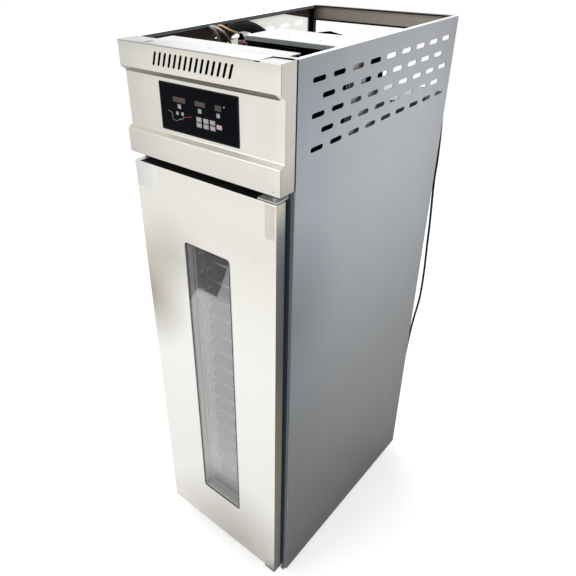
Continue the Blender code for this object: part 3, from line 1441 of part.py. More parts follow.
def condenser_span():
    """The condenser coil's two opposite corners."""
    left = CONDENSER_LEFT
    right = CONDENSER_RIGHT - CONDENSER_COIL_MARGIN
    front = FRONT + CONDENSER_COIL_FRONT
    back = front + CONDENSER_COIL_DEPTH
    bottom = DECK_TOP + CLEARANCE
    top = CONDENSER_TOP - CONDENSER_COIL_TOP_GAP
    return (left, front, bottom), (right, back, top)


def condenser_coil():
    """The condenser's block of fins, with its tubes' return bends on the left end."""
    low, high = condenser_span()
    bm = finned_block(low, high, CONDENSER_FIN_COUNT, CONDENSER_FIN_GROOVE)
    coil = add_piece("condenser_coil", bm, FIN_BLACK)
    bends = bmesh.new()
    middle = low[1] + RETURN_BEND_SETBACK
    half = RETURN_BEND_SPREAD / 2
    pitch = (high[2] - low[2]) / RETURN_BEND_COUNT
    for place in range(RETURN_BEND_COUNT):
        level = low[2] + pitch * (place + 0.5)
        out = low[0] - RETURN_BEND_REACH + half
        flat = [(low[0] + OVERRUN, middle - half)]
        flat += arc(out, middle, half, 270, 90, 2)
        flat += [(low[0] + OVERRUN, middle + half)]
        add_run(bends, lay("Z", level, flat), RETURN_BEND_RADIUS)
    combine(coil, "return_bends", bends, "UNION")


def condenser_shroud():
    """The bright sheet round the condenser, open at the front, with the fan's hole in its back."""
    left = CONDENSER_LEFT
    right = CONDENSER_RIGHT
    front = FRONT + CONDENSER_FRONT
    back = FRONT + CONDENSER_REAR
    bottom = DECK_TOP + CLEARANCE
    top = CONDENSER_TOP
    behind = condenser_span()[1][1] + CLEARANCE
    bm = bmesh.new()
    roof = [(left, front), (right, front), (right, back), (left, back), (left, behind)]
    add_face(bm, lay("Z", top, roof))
    add_face(bm, lay("Y", front, rectangle(left, top - CONDENSER_LIP, right, top)))
    cheek = [(front, top), (front, top - CONDENSER_LIP), (front, bottom), (back, bottom), (back, top)]
    add_face(bm, lay("X", right, cheek))
    add_face(bm, lay("X", left, rectangle(behind, bottom, back, top)))
    hole = circle(CONDENSER_FAN_X, CONDENSER_FAN_LEVEL, CONDENSER_FAN_RADIUS - FAN_TIP_GAP, ROUND_STEPS)
    add_face(bm, lay("Y", back, rectangle(left, bottom, right, top)), [lay("Y", back, hole)])
    thicken(add_piece("condenser_shroud", bm, BRIGHT), SHEET, -1)


def compressor():
    """The welded compressor shell on its mounts, and the cover of its terminals."""
    x = COMPRESSOR_X
    y = FRONT + COMPRESSOR_OFFSET
    radius = COMPRESSOR_RADIUS
    foot = DECK_TOP + CLEARANCE
    plate = foot + COMPRESSOR_MOUNT_HEIGHT + CLEARANCE
    base = COMPRESSOR_BASE / 2
    top = plate + COMPRESSOR_BASE_THICKNESS
    bm = bmesh.new()
    corners = rounded_rectangle(x - base, y - base, x + base, y + base, COMPRESSOR_MOUNT_RADIUS, SLOT_STEPS)
    add_plate(bm, "Z", plate, top, corners)
    shell = add_piece("compressor", bm, BLACK_GLOSS, smooth=True)
    dome = bmesh.new()
    height = COMPRESSOR_HEIGHT
    curve = radius / 2
    profile = [(0, -COMPRESSOR_BASE_THICKNESS / 2), (radius, -COMPRESSOR_BASE_THICKNESS / 2)]
    seam = height / 2
    profile += [(radius, seam - COMPRESSOR_SEAM), (radius + COMPRESSOR_SEAM, seam)]
    profile += [(radius, seam + COMPRESSOR_SEAM)]
    profile += arc(radius - curve, height - curve, curve, 0, 75, CORNER_STEPS)
    profile += [(0, height)]
    add_turned(dome, profile, (x, y, top))
    combine(shell, "compressor_dome", dome, "UNION")

    mounts = bmesh.new()
    reach = base - COMPRESSOR_MOUNT_INSET
    rise = COMPRESSOR_MOUNT_HEIGHT + CLEARANCE + COMPRESSOR_BASE_THICKNESS / 2
    for across in (x - reach, x + reach):
        for deep in (y - reach, y + reach):
            start = (across, deep, foot)
            add_rod(mounts, start, (0, 0, 1), COMPRESSOR_MOUNT_RADIUS, rise, FINE_STEPS)
    combine(shell, "compressor_mounts", mounts, "UNION")

    side = x + radius + COMPRESSOR_SEAM + CLEARANCE
    half = TERMINAL_WIDTH / 2
    low = (side, y - half, top + CLEARANCE)
    high = (side + TERMINAL_DEPTH, y + half, top + TERMINAL_RISE + TERMINAL_HEIGHT)
    add_piece("terminal_cover", block(low, high), BLACK_PAINT)


def liquid_receiver():
    """The upright tank that holds the liquid refrigerant, with its inlet pipe."""
    bm = bmesh.new()
    radius = RECEIVER_RADIUS
    height = RECEIVER_HEIGHT
    curve = radius / 2
    profile = [(0, 0), (radius - curve, 0)]
    profile += arc(radius - curve, curve, curve, -60, 0, SLOT_STEPS)
    profile += arc(radius - curve, height - curve, curve, 0, 60, SLOT_STEPS)
    profile += [(radius - curve, height), (0, height)]
    place = (RECEIVER_X, FRONT + RECEIVER_OFFSET, DECK_TOP + CLEARANCE)
    add_turned(bm, profile, place, steps=FINE_STEPS)
    tank = add_piece("liquid_receiver", bm, BLACK_GLOSS, smooth=True)
    inlet = bmesh.new()
    add_run(inlet, smooth_points(deck_route(CONDENSATE_ROUTE), 4 * PIPE_RADIUS), PIPE_RADIUS)
    combine(tank, "receiver_inlet", inlet, "UNION")


def filter_drier():
    """The copper drier on a clip, lying from front to back, with its outlet pipe."""
    bm = bmesh.new()
    neck = DRIER_NECK_RADIUS
    radius = DRIER_RADIUS
    length = DRIER_LENGTH
    profile = [(0, 0), (neck, 0), (neck, DRIER_NECK), (radius, 2 * DRIER_NECK)]
    profile += [(radius, length - 2 * DRIER_NECK), (neck, length - DRIER_NECK), (neck, length), (0, length)]
    level = DECK_TOP + CLEARANCE + CLAMP_HEIGHT + radius
    y = FRONT + DRIER_OFFSET
    add_turned(bm, profile, (DRIER_X, y, level), (0, 1, 0), FINE_STEPS)
    drier = add_piece("filter_drier", bm, COPPER, smooth=True)
    half = radius / 2
    middle = y + length / 2
    low = (DRIER_X - half, middle - DRIER_NECK, DECK_TOP + CLEARANCE)
    combine(drier, "drier_clip", block(low, (DRIER_X + half, middle + DRIER_NECK, level)), "UNION")
    outlet = bmesh.new()
    route = deck_route(FEED_ROUTE, y + length - PIPE_LAP, PASSAGE[1])
    add_run(outlet, smooth_points(route, 4 * PIPE_RADIUS), PIPE_RADIUS)
    combine(drier, "drier_outlet", outlet, "UNION")


def refrigerant_pipes():
    """The pipes from the compressor, to the condenser and the drier."""
    points = smooth_points(deck_route(SLEEVE_ROUTE), SLEEVE_RADIUS)
    add_tube("insulated_suction_pipe", points, SLEEVE_RADIUS, BLACK_RUBBER)
    pipe("discharge_pipe", deck_route(DISCHARGE_ROUTE), PIPE_RADIUS, COPPER)
    pipe("liquid_pipe", deck_route(LIQUID_ROUTE), PIPE_RADIUS, COPPER)


def control_box():
    """The electrical box on the deck, and its lid."""
    front = FRONT + BOX_FRONT
    back = FRONT + BOX_REAR
    bottom = DECK_TOP + CLEARANCE
    top = bottom + BOX_HEIGHT
    box = add_piece("control_box", block((BOX_LEFT, front, bottom), (BOX_RIGHT, back, top)), GALVANISED)
    wall = BOX_WALL
    low = (BOX_LEFT + wall, front + wall, bottom + wall)
    room = block(low, (BOX_RIGHT - wall, back - wall, top + OVERRUN))
    combine(box, "box_cutter", room, "DIFFERENCE")
    low = (BOX_LEFT, front, top + CLEARANCE)
    add_piece("control_box_lid", block(low, (BOX_RIGHT, back, top + CLEARANCE + wall)), GALVANISED)


def cord_gland():
    """The strain relief in the back skin: a nut inside, a flange outside and a tapered sleeve."""
    inside = -SHEET - CLEARANCE
    nut = inside - GLAND_NUT_THICKNESS
    seat = CLEARANCE
    flange = seat + GLAND_FLANGE_THICKNESS
    end = REAR - REAR_SKIN_BACK + GLAND_LENGTH
    profile = [(0, nut), (GLAND_FLANGE_RADIUS, nut), (GLAND_FLANGE_RADIUS, inside)]
    profile += [(GLAND_NECK_RADIUS, inside), (GLAND_NECK_RADIUS, seat)]
    profile += [(GLAND_FLANGE_RADIUS, seat), (GLAND_FLANGE_RADIUS, flange)]
    profile += [(GLAND_NECK_RADIUS, flange), (GLAND_TIP_RADIUS, end), (0, end)]
    bm = bmesh.new()
    add_turned(bm, profile, (GLAND_X, REAR_SKIN_BACK, GLAND_LEVEL), (0, 1, 0), FINE_STEPS)
    add_piece("cord_gland", bm, BLACK_RUBBER, smooth=True)


def coil_points():
    """The coil's points: in along the floor, up a layer while it reverses, and out again."""
    centre = Vector((COIL_CENTRE_X, COIL_CENTRE_Y, 0))
    climb = 0.5
    inward = (COIL_TURNS - climb) / 2
    points = [centre + Vector((2 * CORD_DIAMETER, COIL_TURN_RADIUS, CORD_LEVEL))]
    points.append(centre + Vector((CORD_DIAMETER, COIL_TURN_RADIUS, CORD_LEVEL)))
    for step in range(COIL_TURNS * COIL_STEPS + 1):
        turn = step / COIL_STEPS
        drawn_in = min(turn, inward, COIL_TURNS - turn)
        radius = COIL_TURN_RADIUS - COIL_TURN_PITCH * drawn_in
        rise = min(max((turn - inward) / climb, 0), 1)
        level = CORD_LEVEL + COIL_TURN_PITCH * (1 - math.cos(math.pi * rise)) / 2
        angle = math.tau * turn + math.pi / 2
        flat = Vector((radius * math.cos(angle), radius * math.sin(angle), level))
        points.append(centre + flat)
    last = points[-1]
    points.append(last - Vector((CORD_DIAMETER, 0, 0)))
    points.append(last - Vector((2 * CORD_DIAMETER, 0, 0)))
    return points


def least_gap(points, diameter):
    """The least gap between a tube and itself, measured on points that are over a third of a turn apart."""
    apart = COIL_STEPS // 3
    gaps = []
    for i, point in enumerate(points):
        for other, after in zip(points[i + apart :], points[i + apart + 1 :]):
            run = after - other
            share = min(max((point - other).dot(run) / run.length_squared, 0), 1)
            gaps.append((point - other - run * share).length - diameter)
    return min(gaps)


def mains_cord():
    """The gland, the free cord, its coil on the floor and the plug."""
    cord_gland()
    black = BLACK_RUBBER
    route = [(GLAND_X + x, REAR + y, GLAND_LEVEL * share) for x, y, share in CORD_ROUTE]
    pipe_points = smooth_points(route, 3 * CORD_DIAMETER)
    add_tube("power_cord", pipe_points, CORD_RADIUS, black)
    points = coil_points()
    print(f"least gap in the coil: {least_gap(points, CORD_DIAMETER) * 1000:.2f} mm")
    add_tube("cord_coil", points, CORD_RADIUS, black, resolution=1)
    power_plug(points[-1] - Vector((CLEARANCE, 0, 0)))


def power_plug(tail):
    """A flat three-pin plug that points to -X from the coil's end."""
    x, y, z = tail
    bm = bmesh.new()
    half = z - CLEARANCE
    wide = PLUG_BODY_WIDTH / 2
    front = x - PLUG_TAIL
    low = (front - PLUG_BODY_LENGTH, y - wide, z - half)
    add_block(bm, low, (front, y + wide, z + half))
    bmesh.ops.bevel(
        bm,
        geom=bm.edges[:],
        offset=PLUG_BEVEL,
        offset_type="OFFSET",
        segments=2,
        profile=0.5,
        affect="EDGES",
        material=-1,
    )
    plug = add_piece("power_plug", bm, BLACK_RUBBER)
    extras = bmesh.new()
    reach = PLUG_TAIL + OVERRUN
    profile = [(0, 0), (GLAND_TIP_RADIUS, 0), (PLUG_TAIL_RADIUS, reach), (0, reach)]
    add_turned(extras, profile, tail, (-1, 0, 0), FINE_STEPS)
    face = front - PLUG_BODY_LENGTH + OVERRUN
    length = PLUG_PIN_LENGTH + OVERRUN
    pins = ((PLUG_PIN_SPREAD, PLUG_PIN_LEAN), (-PLUG_PIN_SPREAD, -PLUG_PIN_LEAN))
    for across, lean in pins:
        add_pin(extras, (face, y + across, z), length, lean)
    combine(plug, "plug_extras", extras, "UNION")


def add_pin(bm, root, length, lean):
    """A flat pin that sticks out towards -X, turned about its own length."""
    pin = bmesh.new()
    half_width = PLUG_PIN_WIDTH / 2
    half_thickness = PLUG_PIN_THICKNESS / 2
    add_block(pin, (-length, -half_thickness, -half_width), (0, half_thickness, half_width))
    turn = Matrix.Rotation(math.radians(lean), 4, "X")
    bmesh.ops.transform(pin, matrix=Matrix.Translation(root) @ turn, verts=pin.verts)
    add_bmesh(bm, pin)


def door():
    """The door and all that swings with it, about the hinge's axis."""
    swing = pivot("door_axis", (HINGE_X, HINGE_Y, DOOR_BOTTOM))
    door_outer_skin(swing)
    door_inner_skin(swing)
    door_foam(swing)
    window_frame(swing)
    window_panes(swing)
    door_seal(swing)
    hinge_bushes(swing)


def body():
    """The insulated body, the feet and the frame of the machine compartment."""
    side_panel("left_side_panel", -1)
    side_panel("right_side_panel", 1)
    rear_panel()
    base_pan()
    levelling_feet()
    machine_deck()
    insulation_foam()
    inner_liner()
    front_frame()
    front_top_rail()
    rear_top_rail()
    rear_corner_post("rear_left_post", -1)
    rear_corner_post("rear_right_post", 1)
    fascia()
    display_panel()
    control_board()
    hinge_brackets()
    hinge_pins()


def cold_room():
    """What the cold room holds."""
    tray_rack()
    air_duct_panel()
    fan("cabin", 0, DUCT_Y + SHEET + CLEARANCE, CABIN_FAN_LEVEL, CABIN_FAN_RADIUS, BRIGHT)
    evaporator()
    heating_elements()
    humidifier_pan()


def machinery():
    """What stands on the machine deck."""
    condenser_coil()
    condenser_shroud()
    rear = FRONT + CONDENSER_REAR + CLEARANCE
    fan("condenser", CONDENSER_FAN_X, rear, CONDENSER_FAN_LEVEL, CONDENSER_FAN_RADIUS, BLACK_PAINT)
    compressor()
    liquid_receiver()
    filter_drier()
    refrigerant_pipes()
    pipe_grommet()
    control_box()


def main():
    for old in list(bpy.data.objects):
        bpy.data.objects.remove(old)
    body()
    door()
    cold_room()
    machinery()
    mains_cord()


main()
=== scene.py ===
"""The looks of a single-door proofing cabinet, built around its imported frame.

Metres, +Z up. X runs to the right of someone who faces the door, Y from the door to the back.
"""

import math

import bmesh
import bpy
from mathutils import Matrix, Vector


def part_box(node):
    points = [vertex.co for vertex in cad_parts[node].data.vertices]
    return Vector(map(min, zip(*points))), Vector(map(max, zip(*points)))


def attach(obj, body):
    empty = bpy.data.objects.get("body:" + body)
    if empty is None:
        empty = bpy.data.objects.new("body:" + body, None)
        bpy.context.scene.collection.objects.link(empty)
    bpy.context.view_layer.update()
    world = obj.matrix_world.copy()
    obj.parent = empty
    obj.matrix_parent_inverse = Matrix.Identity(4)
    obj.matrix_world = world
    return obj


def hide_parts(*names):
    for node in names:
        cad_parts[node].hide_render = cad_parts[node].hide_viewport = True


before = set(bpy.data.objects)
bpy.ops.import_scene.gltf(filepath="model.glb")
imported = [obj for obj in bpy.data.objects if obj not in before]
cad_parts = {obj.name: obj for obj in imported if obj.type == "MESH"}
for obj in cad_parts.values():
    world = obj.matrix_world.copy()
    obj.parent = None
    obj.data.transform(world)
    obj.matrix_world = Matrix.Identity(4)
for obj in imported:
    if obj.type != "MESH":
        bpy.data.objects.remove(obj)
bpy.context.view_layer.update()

SHEET = 0.001
HALF = 0.295
FRONT = -0.48
REAR = 0.48
DOOR_BACK = -0.442
TOP = 2.05
DECK = 1.717
RACK_HALF = 0.203
STICKER = (-0.2820, 1.6125, -0.1785, 1.6955)

# ---------------------------------------------------------------- camera


def camera():
    """The camera at the photograph's viewing angle."""
    lens = bpy.data.cameras.new("photo_camera")
    lens.sensor_fit = "HORIZONTAL"
    lens.sensor_width = 36.0
    lens.lens = 35.8173
    lens.shift_x = 0.0645
    lens.shift_y = -0.0364
    lens.clip_start = 0.05
    eye = bpy.data.objects.new("photo_camera", lens)
    eye.location = (1.1204, -1.5400, 2.3197)
    eye.rotation_euler = (1.03309, 0.01705, 0.70928)
    bpy.context.scene.collection.objects.link(eye)
    bpy.context.scene.camera = eye


# ---------------------------------------------------------------- finishes


def srgb(red, green, blue):
    """A linear colour from the three values that a picture gives it."""
    straight = []
    for value in (red, green, blue):
        value /= 255
        straight.append(value / 12.92 if value <= 0.04045 else ((value + 0.055) / 1.055) ** 2.4)
    return (*straight, 1.0)


def tones(*stops):
    """Colour stops from rows of a place and the three values that a picture gives a colour."""
    return [(place, srgb(*colour)) for place, *colour in stops]


def grey(value):
    """A plain linear grey."""
    return (value, value, value, 1)


OFF, ON = grey(0), grey(1)


class Finish:
    """A procedural material, with the nodes that most finishes share."""

    def __init__(self, name, colour, roughness=0.5, metallic=0.0, **values):
        self.material = bpy.data.materials.new(name)
        self.material.use_nodes = True
        self.nodes = self.material.node_tree.nodes
        self.links = self.material.node_tree.links
        self.shader = self.nodes["Principled BSDF"]
        self.put("Base Color", colour)
        self.put("Roughness", roughness)
        self.put("Metallic", metallic)
        for key, value in values.items():
            self.put(key.replace("_", " "), value)

    def put(self, socket, value):
        """A number or colour that is the same all over the surface."""
        self.shader.inputs[socket].default_value = value

    def feed(self, sockets, values):
        """Link or set each socket, as its value asks."""
        for socket, value in zip(sockets, values):
            if hasattr(value, "is_output"):
                self.links.new(value, socket)
            else:
                socket.default_value = value

    def place(self, scale=(1, 1, 1), location=(0, 0, 0)):
        """Object coordinates, stretched and moved."""
        source = self.nodes.new("ShaderNodeTexCoord")
        mapping = self.nodes.new("ShaderNodeMapping")
        mapping.inputs["Location"].default_value = location
        mapping.inputs["Scale"].default_value = scale
        self.links.new(source.outputs["Object"], mapping.inputs["Vector"])
        return mapping.outputs["Vector"]

    def noise(self, scale, stretch=(1, 1, 1), detail=3.0):
        """Fine irregular variation, drawn out where the stretch is small."""
        made = self.nodes.new("ShaderNodeTexNoise")
        made.inputs["Scale"].default_value = scale
        made.inputs["Detail"].default_value = detail
        made.inputs["Roughness"].default_value = 0.55
        self.links.new(self.place(stretch), made.inputs["Vector"])
        return made.outputs["Fac"]

    def ramp(self, factor, stops):
        """A colour ramp from (place, colour) pairs."""
        made = self.nodes.new("ShaderNodeValToRGB")
        while len(made.color_ramp.elements) < len(stops):
            made.color_ramp.elements.new(0.5)
        for element, (place, colour) in zip(made.color_ramp.elements, stops):
            element.position = place
            element.color = colour
        self.links.new(factor, made.inputs["Fac"])
        return made.outputs["Color"]

    def span(self, value, source=(0.0, 1.0), target=(0.0, 1.0)):
        """A value moved from one range to another."""
        made = self.nodes.new("ShaderNodeMapRange")
        for socket, number in zip(("From Min", "From Max", "To Min", "To Max"), (*source, *target)):
            made.inputs[socket].default_value = number
        self.links.new(value, made.inputs["Value"])
        return made.outputs["Result"]

    def axes(self):
        """The three object coordinates, each on its own."""
        split = self.nodes.new("ShaderNodeSeparateXYZ")
        self.links.new(self.place(), split.inputs["Vector"])
        return split.outputs

    def along(self, axis, low, high):
        """0 to 1 along an axis, between two places."""
        return self.span(self.axes()[axis], (low, high))

    def glow(self, centre, reach):
        """1 in the middle of a soft ellipsoid, 0 outside it."""
        scale = [1 / r if r else 0 for r in reach]
        where = [-c * s for c, s in zip(centre, scale)]
        made = self.nodes.new("ShaderNodeTexGradient")
        made.gradient_type = "SPHERICAL"
        self.links.new(self.place(scale, where), made.inputs["Vector"])
        return made.outputs["Fac"]

    def blend(self, factor, first, second, mode="MIX"):
        """One colour changed to or by another one, as far as a factor says."""
        made = self.nodes.new("ShaderNodeMix")
        made.data_type = "RGBA"
        made.blend_type = mode
        made.clamp_factor = True
        self.feed((made.inputs[0], made.inputs[6], made.inputs[7]), (factor, first, second))
        return made.outputs[2]

    def maths(self, operation, *values, clamp=False):
        """A sum of numbers and sockets."""
        made = self.nodes.new("ShaderNodeMath")
        made.operation = operation
        made.use_clamp = clamp
        self.feed(made.inputs, values)
        return made.outputs["Value"]

    def shade(self, tone, where, share, colour):
        """A tone that turns to a colour in a place, by a share of it."""
        return self.blend(self.maths("MULTIPLY", where, share, clamp=True), tone, colour)

    def worn(self, share, tone, pattern, low, high):
        """A tone darkened by a share of a pattern, which runs from a (place, colour) to white."""
        return self.blend(share, tone, self.ramp(pattern, [low, (high, ON)]), "MULTIPLY")

    def painted(self, tone, pattern, rough, strength, depth=0.0002):
        """Put a tone on the surface, and a pattern in its roughness and its height."""
        self.links.new(tone, self.shader.inputs["Base Color"])
        self.links.new(self.span(pattern, target=rough), self.shader.inputs["Roughness"])
        made = self.nodes.new("ShaderNodeBump")
        made.inputs["Strength"].default_value = strength
        made.inputs["Distance"].default_value = depth
        self.links.new(pattern, made.inputs["Height"])
        self.links.new(made.outputs["Normal"], self.shader.inputs["Normal"])
        return self.material


def mottled(
    name, colour, roughness, metallic=0.0, scale=60.0, spread=0.12, grain=(1, 1, 1), depth=0.0002, **values
):
    """A plain finish with fine variation in colour, roughness and height."""
    made = Finish(name, colour, roughness, metallic, **values)
    fine = made.noise(scale, grain)
    dark = tuple(c * (1 - spread) for c in colour[:3]) + (1.0,)
    light = tuple(min(c * (1 + spread), 1.0) for c in colour[:3]) + (1.0,)
    tone = made.ramp(fine, [(0.3, dark), (0.7, light)])
    return made.painted(tone, fine, (max(roughness - 0.06, 0.02), min(roughness + 0.08, 1.0)), 0.25, depth)


# Where the door's side face and fold carry painted shade.
DOOR_SIDE_SHADE = (0.2828, 0.2836)
# Painted reflections of the room on the door, as soft patches of colour.
DOOR_PAINTED_REFLECTIONS = (
    ((0.11, 0, 0.08), (0.42, 0, 0.42), 1.2, srgb(176, 172, 165)),
    ((-0.30, 0, 1.21), (0.22, 0, 0.26), 1.0, srgb(146, 138, 122)),
    ((-0.16, 0, 1.40), (0.20, 0, 0.16), 0.5, srgb(146, 138, 122)),
    ((0.31, 0, 0.07), (0.09, 0, 0.10), 1.5, srgb(104, 102, 96)),
)


def brushed_front(name):
    """Warm brushed stainless with fine upright grain, painted light up it, painted reflections of the room
    and painted shade on its side face and fold.
    """
    made = Finish(name, srgb(232, 229, 220), 0.33, 0.55)
    height = made.along("Z", 0.0, TOP)
    # Painted light and shade: the tone of the door's front changes up its height.
    face = tones((0.05, 222, 219, 213), (0.16, 229, 227, 222), (0.25, 227, 226, 221), (0.40, 230, 229, 224))
    face += tones((0.54, 232, 232, 227), (0.68, 226, 224, 217), (0.75, 220, 218, 210), (0.80, 226, 223, 214))
    tone = made.ramp(height, face + tones((0.99, 216, 213, 204)))
    for centre, reach, share, colour in DOOR_PAINTED_REFLECTIONS:
        tone = made.shade(tone, made.glow(centre, reach), share, colour)
    # Painted shade on the door's side face, darkest low down.
    fold = tones((0.058, 38, 32, 22), (0.146, 72, 62, 48), (0.293, 92, 84, 62), (0.44, 86, 76, 52))
    fold += tones((0.585, 58, 56, 53), (0.73, 76, 80, 86), (0.78, 110, 112, 112), (0.82, 184, 182, 168))
    tone = made.blend(made.along("X", *DOOR_SIDE_SHADE), tone, made.ramp(height, fold))
    streaks = made.noise(900.0, (1.0, 1.0, 0.004), 2.0)
    tone = made.worn(0.10, tone, streaks, (0.3, grey(0.3)), 0.7)
    return made.painted(tone, streaks, (0.26, 0.42), 0.05)


def case_steel(name):
    """Blue-grey steel of the case with faint upright grain, painted light that makes it lighter at the top,
    painted shade near its front, back and door, and a painted highlight on its top fold.
    """
    made = Finish(name, srgb(150, 156, 160), 0.36, 0.5)
    # Painted light: lighter towards the top.
    painted_light_up = tones((0.04, 40, 40, 37), (0.10, 70, 70, 67), (0.20, 90, 90, 88), (0.29, 106, 107, 106))
    painted_light_up += tones(
        (0.39, 116, 118, 118), (0.49, 130, 134, 137), (0.59, 143, 151, 155), (0.68, 158, 165, 169)
    )
    painted_light_up += tones((0.80, 175, 180, 184), (0.88, 178, 183, 187), (0.99, 166, 169, 174))
    tone = made.ramp(made.along("Z", 0.0, TOP), painted_light_up)
    # Painted shade towards the front and back edges.
    inward = [(0.0, (0.70, 0.74, 0.79, 1)), (0.30, (0.92, 0.93, 0.94, 1)), (0.62, ON), (0.82, ON)]
    inward += [(0.94, (0.92, 0.92, 0.93, 1)), (1.0, (0.86, 0.86, 0.88, 1))]
    tone = made.blend(1.0, tone, made.ramp(made.along("Y", FRONT, REAR), inward), "MULTIPLY")
    # A patch of painted shade near the door, at mid-height.
    tone = made.shade(tone, made.glow((0, -0.44, 1.30), (0, 0.30, 0.34)), 0.55, srgb(84, 92, 98))
    clouds = made.noise(2.2, (1.0, 1.0, 0.6), 4.0)
    tone = made.worn(0.16, tone, clouds, (0.35, grey(0.6)), 0.65)
    streaks = made.noise(700.0, (1.0, 1.0, 0.004), 2.0)
    tone = made.worn(0.12, tone, streaks, (0.3, grey(0.4)), 0.7)
    # A painted highlight along the top fold.
    tone = made.blend(made.along("Z", TOP - 0.0012, TOP - 0.0004), tone, srgb(246, 248, 250))
    return made.painted(tone, streaks, (0.30, 0.46), 0.05)


PANE_ACROSS = (-0.087, 0.110)
PANE_UP = (0.32, 1.47)
# The painted reflection's share up the pane, as (place, share) stops.
REFLECTION_UP = (
    (0.0, 0.18), (0.035, 0.30), (0.07, 0.52), (0.13, 0.84), (0.157, 0.97),
    (0.21, 0.87), (0.33, 0.76), (0.5, 0.72), (0.846, 0.72), (0.856, 0.45),
)
REFLECTION_THIN = 0.22


def window_glass(name, reflection_tone, share, step):
    """Glass with a pale painted reflection of the room, strong over most of it and faint over its top, with a
    stepped edge.
    """
    made = Finish(name, reflection_tone, 0.08, 0.0)
    through = made.nodes.new("ShaderNodeBsdfTransparent")
    through.inputs["Color"].default_value = (0.98, 0.985, 0.985, 1)
    mixed = made.nodes.new("ShaderNodeMixShader")
    axes = made.axes()
    rising, steep, level = step
    left = made.maths("MULTIPLY_ADD", axes["X"], 1.634, rising)
    right = made.maths("MULTIPLY_ADD", axes["X"], 2.5, steep)
    edge = made.maths("MINIMUM", left, made.maths("MAXIMUM", right, level))
    below = made.span(made.maths("SUBTRACT", edge, axes["Z"]), (-0.003, 0.003))
    # Painted reflection, fading up and across the pane.
    painted_light_up = made.ramp(made.along("Z", *PANE_UP), [(place, grey(value)) for place, value in REFLECTION_UP])
    aside = made.ramp(made.along("X", *PANE_ACROSS), [(0.15, ON), (0.42, grey(0.62))])
    painted_light_up = made.maths("MULTIPLY", painted_light_up, aside)
    full = share * 1.4 / 0.62
    thick = made.maths("MULTIPLY_ADD", below, full * (1 - REFLECTION_THIN), full * REFLECTION_THIN)
    cloud = made.ramp(made.noise(5.0, (1, 1, 0.5)), [(0.3, grey(0.92)), (0.7, ON)])
    thick = made.maths("MULTIPLY", made.maths("MULTIPLY", thick, painted_light_up), cloud)
    # The painted reflection lets light through on its way into the cabinet.
    rays = made.nodes.new("ShaderNodeLightPath").outputs
    lit = made.maths("MAXIMUM", rays["Is Shadow Ray"], rays["Is Diffuse Ray"])
    thick = made.maths("MULTIPLY", thick, made.maths("SUBTRACT", 1.0, lit))
    made.feed(mixed.inputs, (thick, through.outputs[0], made.shader.outputs[0]))
    made.links.new(mixed.outputs[0], made.nodes["Material Output"].inputs["Surface"])
    return made.material


def brushed_fascia(name):
    """The front cover's brushed steel, greener than the door, with painted light and shade: darker on its
    left, on its flange, at its bends, over the recess and low down.
    """
    made = Finish(name, srgb(222, 219, 209), 0.33, 0.5)
    across = made.along("X", -HALF, HALF)
    # Painted shade, darker towards the left.
    face = tones((0.0, 202, 200, 190), (0.25, 216, 213, 203), (0.5, 226, 223, 213))
    tone = made.ramp(across, face + tones((0.93, 226, 223, 214), (0.99, 232, 229, 220)))
    # Painted shade towards the top.
    tone = made.shade(tone, made.along("Z", 2.016, 2.044), 0.35, srgb(190, 187, 178))
    # A band of painted shadow on the slope over the recess and under it.
    slope = made.ramp(made.along("Z", 1.9605, 1.9805), [(0.02, OFF), (0.10, ON), (0.88, ON), (0.94, OFF)])
    reach = [(0.0, grey(0.7)), (0.08, grey(0.8)), (0.25, grey(0.95)), (0.5, ON), (0.968, ON), (0.976, OFF)]
    tone = made.shade(tone, slope, made.ramp(across, reach), srgb(88, 84, 74))
    # The side face's painted light and shade, darker low down.
    up_the_side = tones(
        (0.03, 184, 180, 170), (0.24, 203, 199, 190), (0.79, 214, 210, 201), (0.97, 210, 206, 197)
    )
    side = made.ramp(made.along("Z", 1.72, TOP), up_the_side)
    stripes = made.noise(130.0, (1.0, 1.0, 0.01), 2.0)
    side = made.worn(0.16, side, stripes, (0.35, grey(0.45)), 0.62)
    # Painted shade beside the front bend.
    bend = made.ramp(made.along("Y", FRONT, FRONT + 0.010), [(0.0, ON), (0.22, ON), (0.42, OFF)])
    side = made.shade(side, bend, 0.6, srgb(134, 130, 118))
    tone = made.blend(made.along("X", HALF - 0.0006, HALF - 0.0002), tone, side)
    # Painted light and shade across the top flange.
    flange = tones((0.0, 206, 207, 210), (0.10, 192, 194, 198), (0.246, 144, 146, 151), (0.5, 153, 155, 159))
    flange += tones((0.70, 162, 164, 168), (0.88, 184, 185, 188), (1.0, 208, 208, 210))
    flange = made.ramp(across, flange)
    # A line of painted shade along the top bend.
    fold = made.ramp(made.along("Z", TOP - 0.0040, TOP), [(0.10, OFF), (0.30, ON), (0.85, ON), (0.95, OFF)])
    tone = made.shade(tone, fold, made.ramp(across, [(0.862, grey(0.75)), (0.874, OFF)]), srgb(128, 126, 120))
    tone = made.blend(made.along("Z", TOP - 0.0008, TOP - 0.0002), tone, flange)
    # Painted shade low down, over the door.
    low = made.maths("SUBTRACT", 1.0, made.along("Z", 1.7206, 1.82), clamp=True)
    tone = made.shade(tone, low, 0.12, srgb(150, 146, 136))
    streaks = made.noise(900.0, (0.004, 1.0, 1.0), 2.0)
    tone = made.worn(0.08, tone, streaks, (0.3, grey(0.3)), 0.7)
    tone = made.worn(0.10, tone, made.noise(9.0, (1, 1, 1), 4.0), (0.35, (0.55, 0.55, 0.53, 1)), 0.65)
    return made.painted(tone, streaks, (0.26, 0.42), 0.05)


PANEL_SHADE = (-0.30, 0.30)
WARM_GREY = (0.6, 0.58, 0.55, 1)


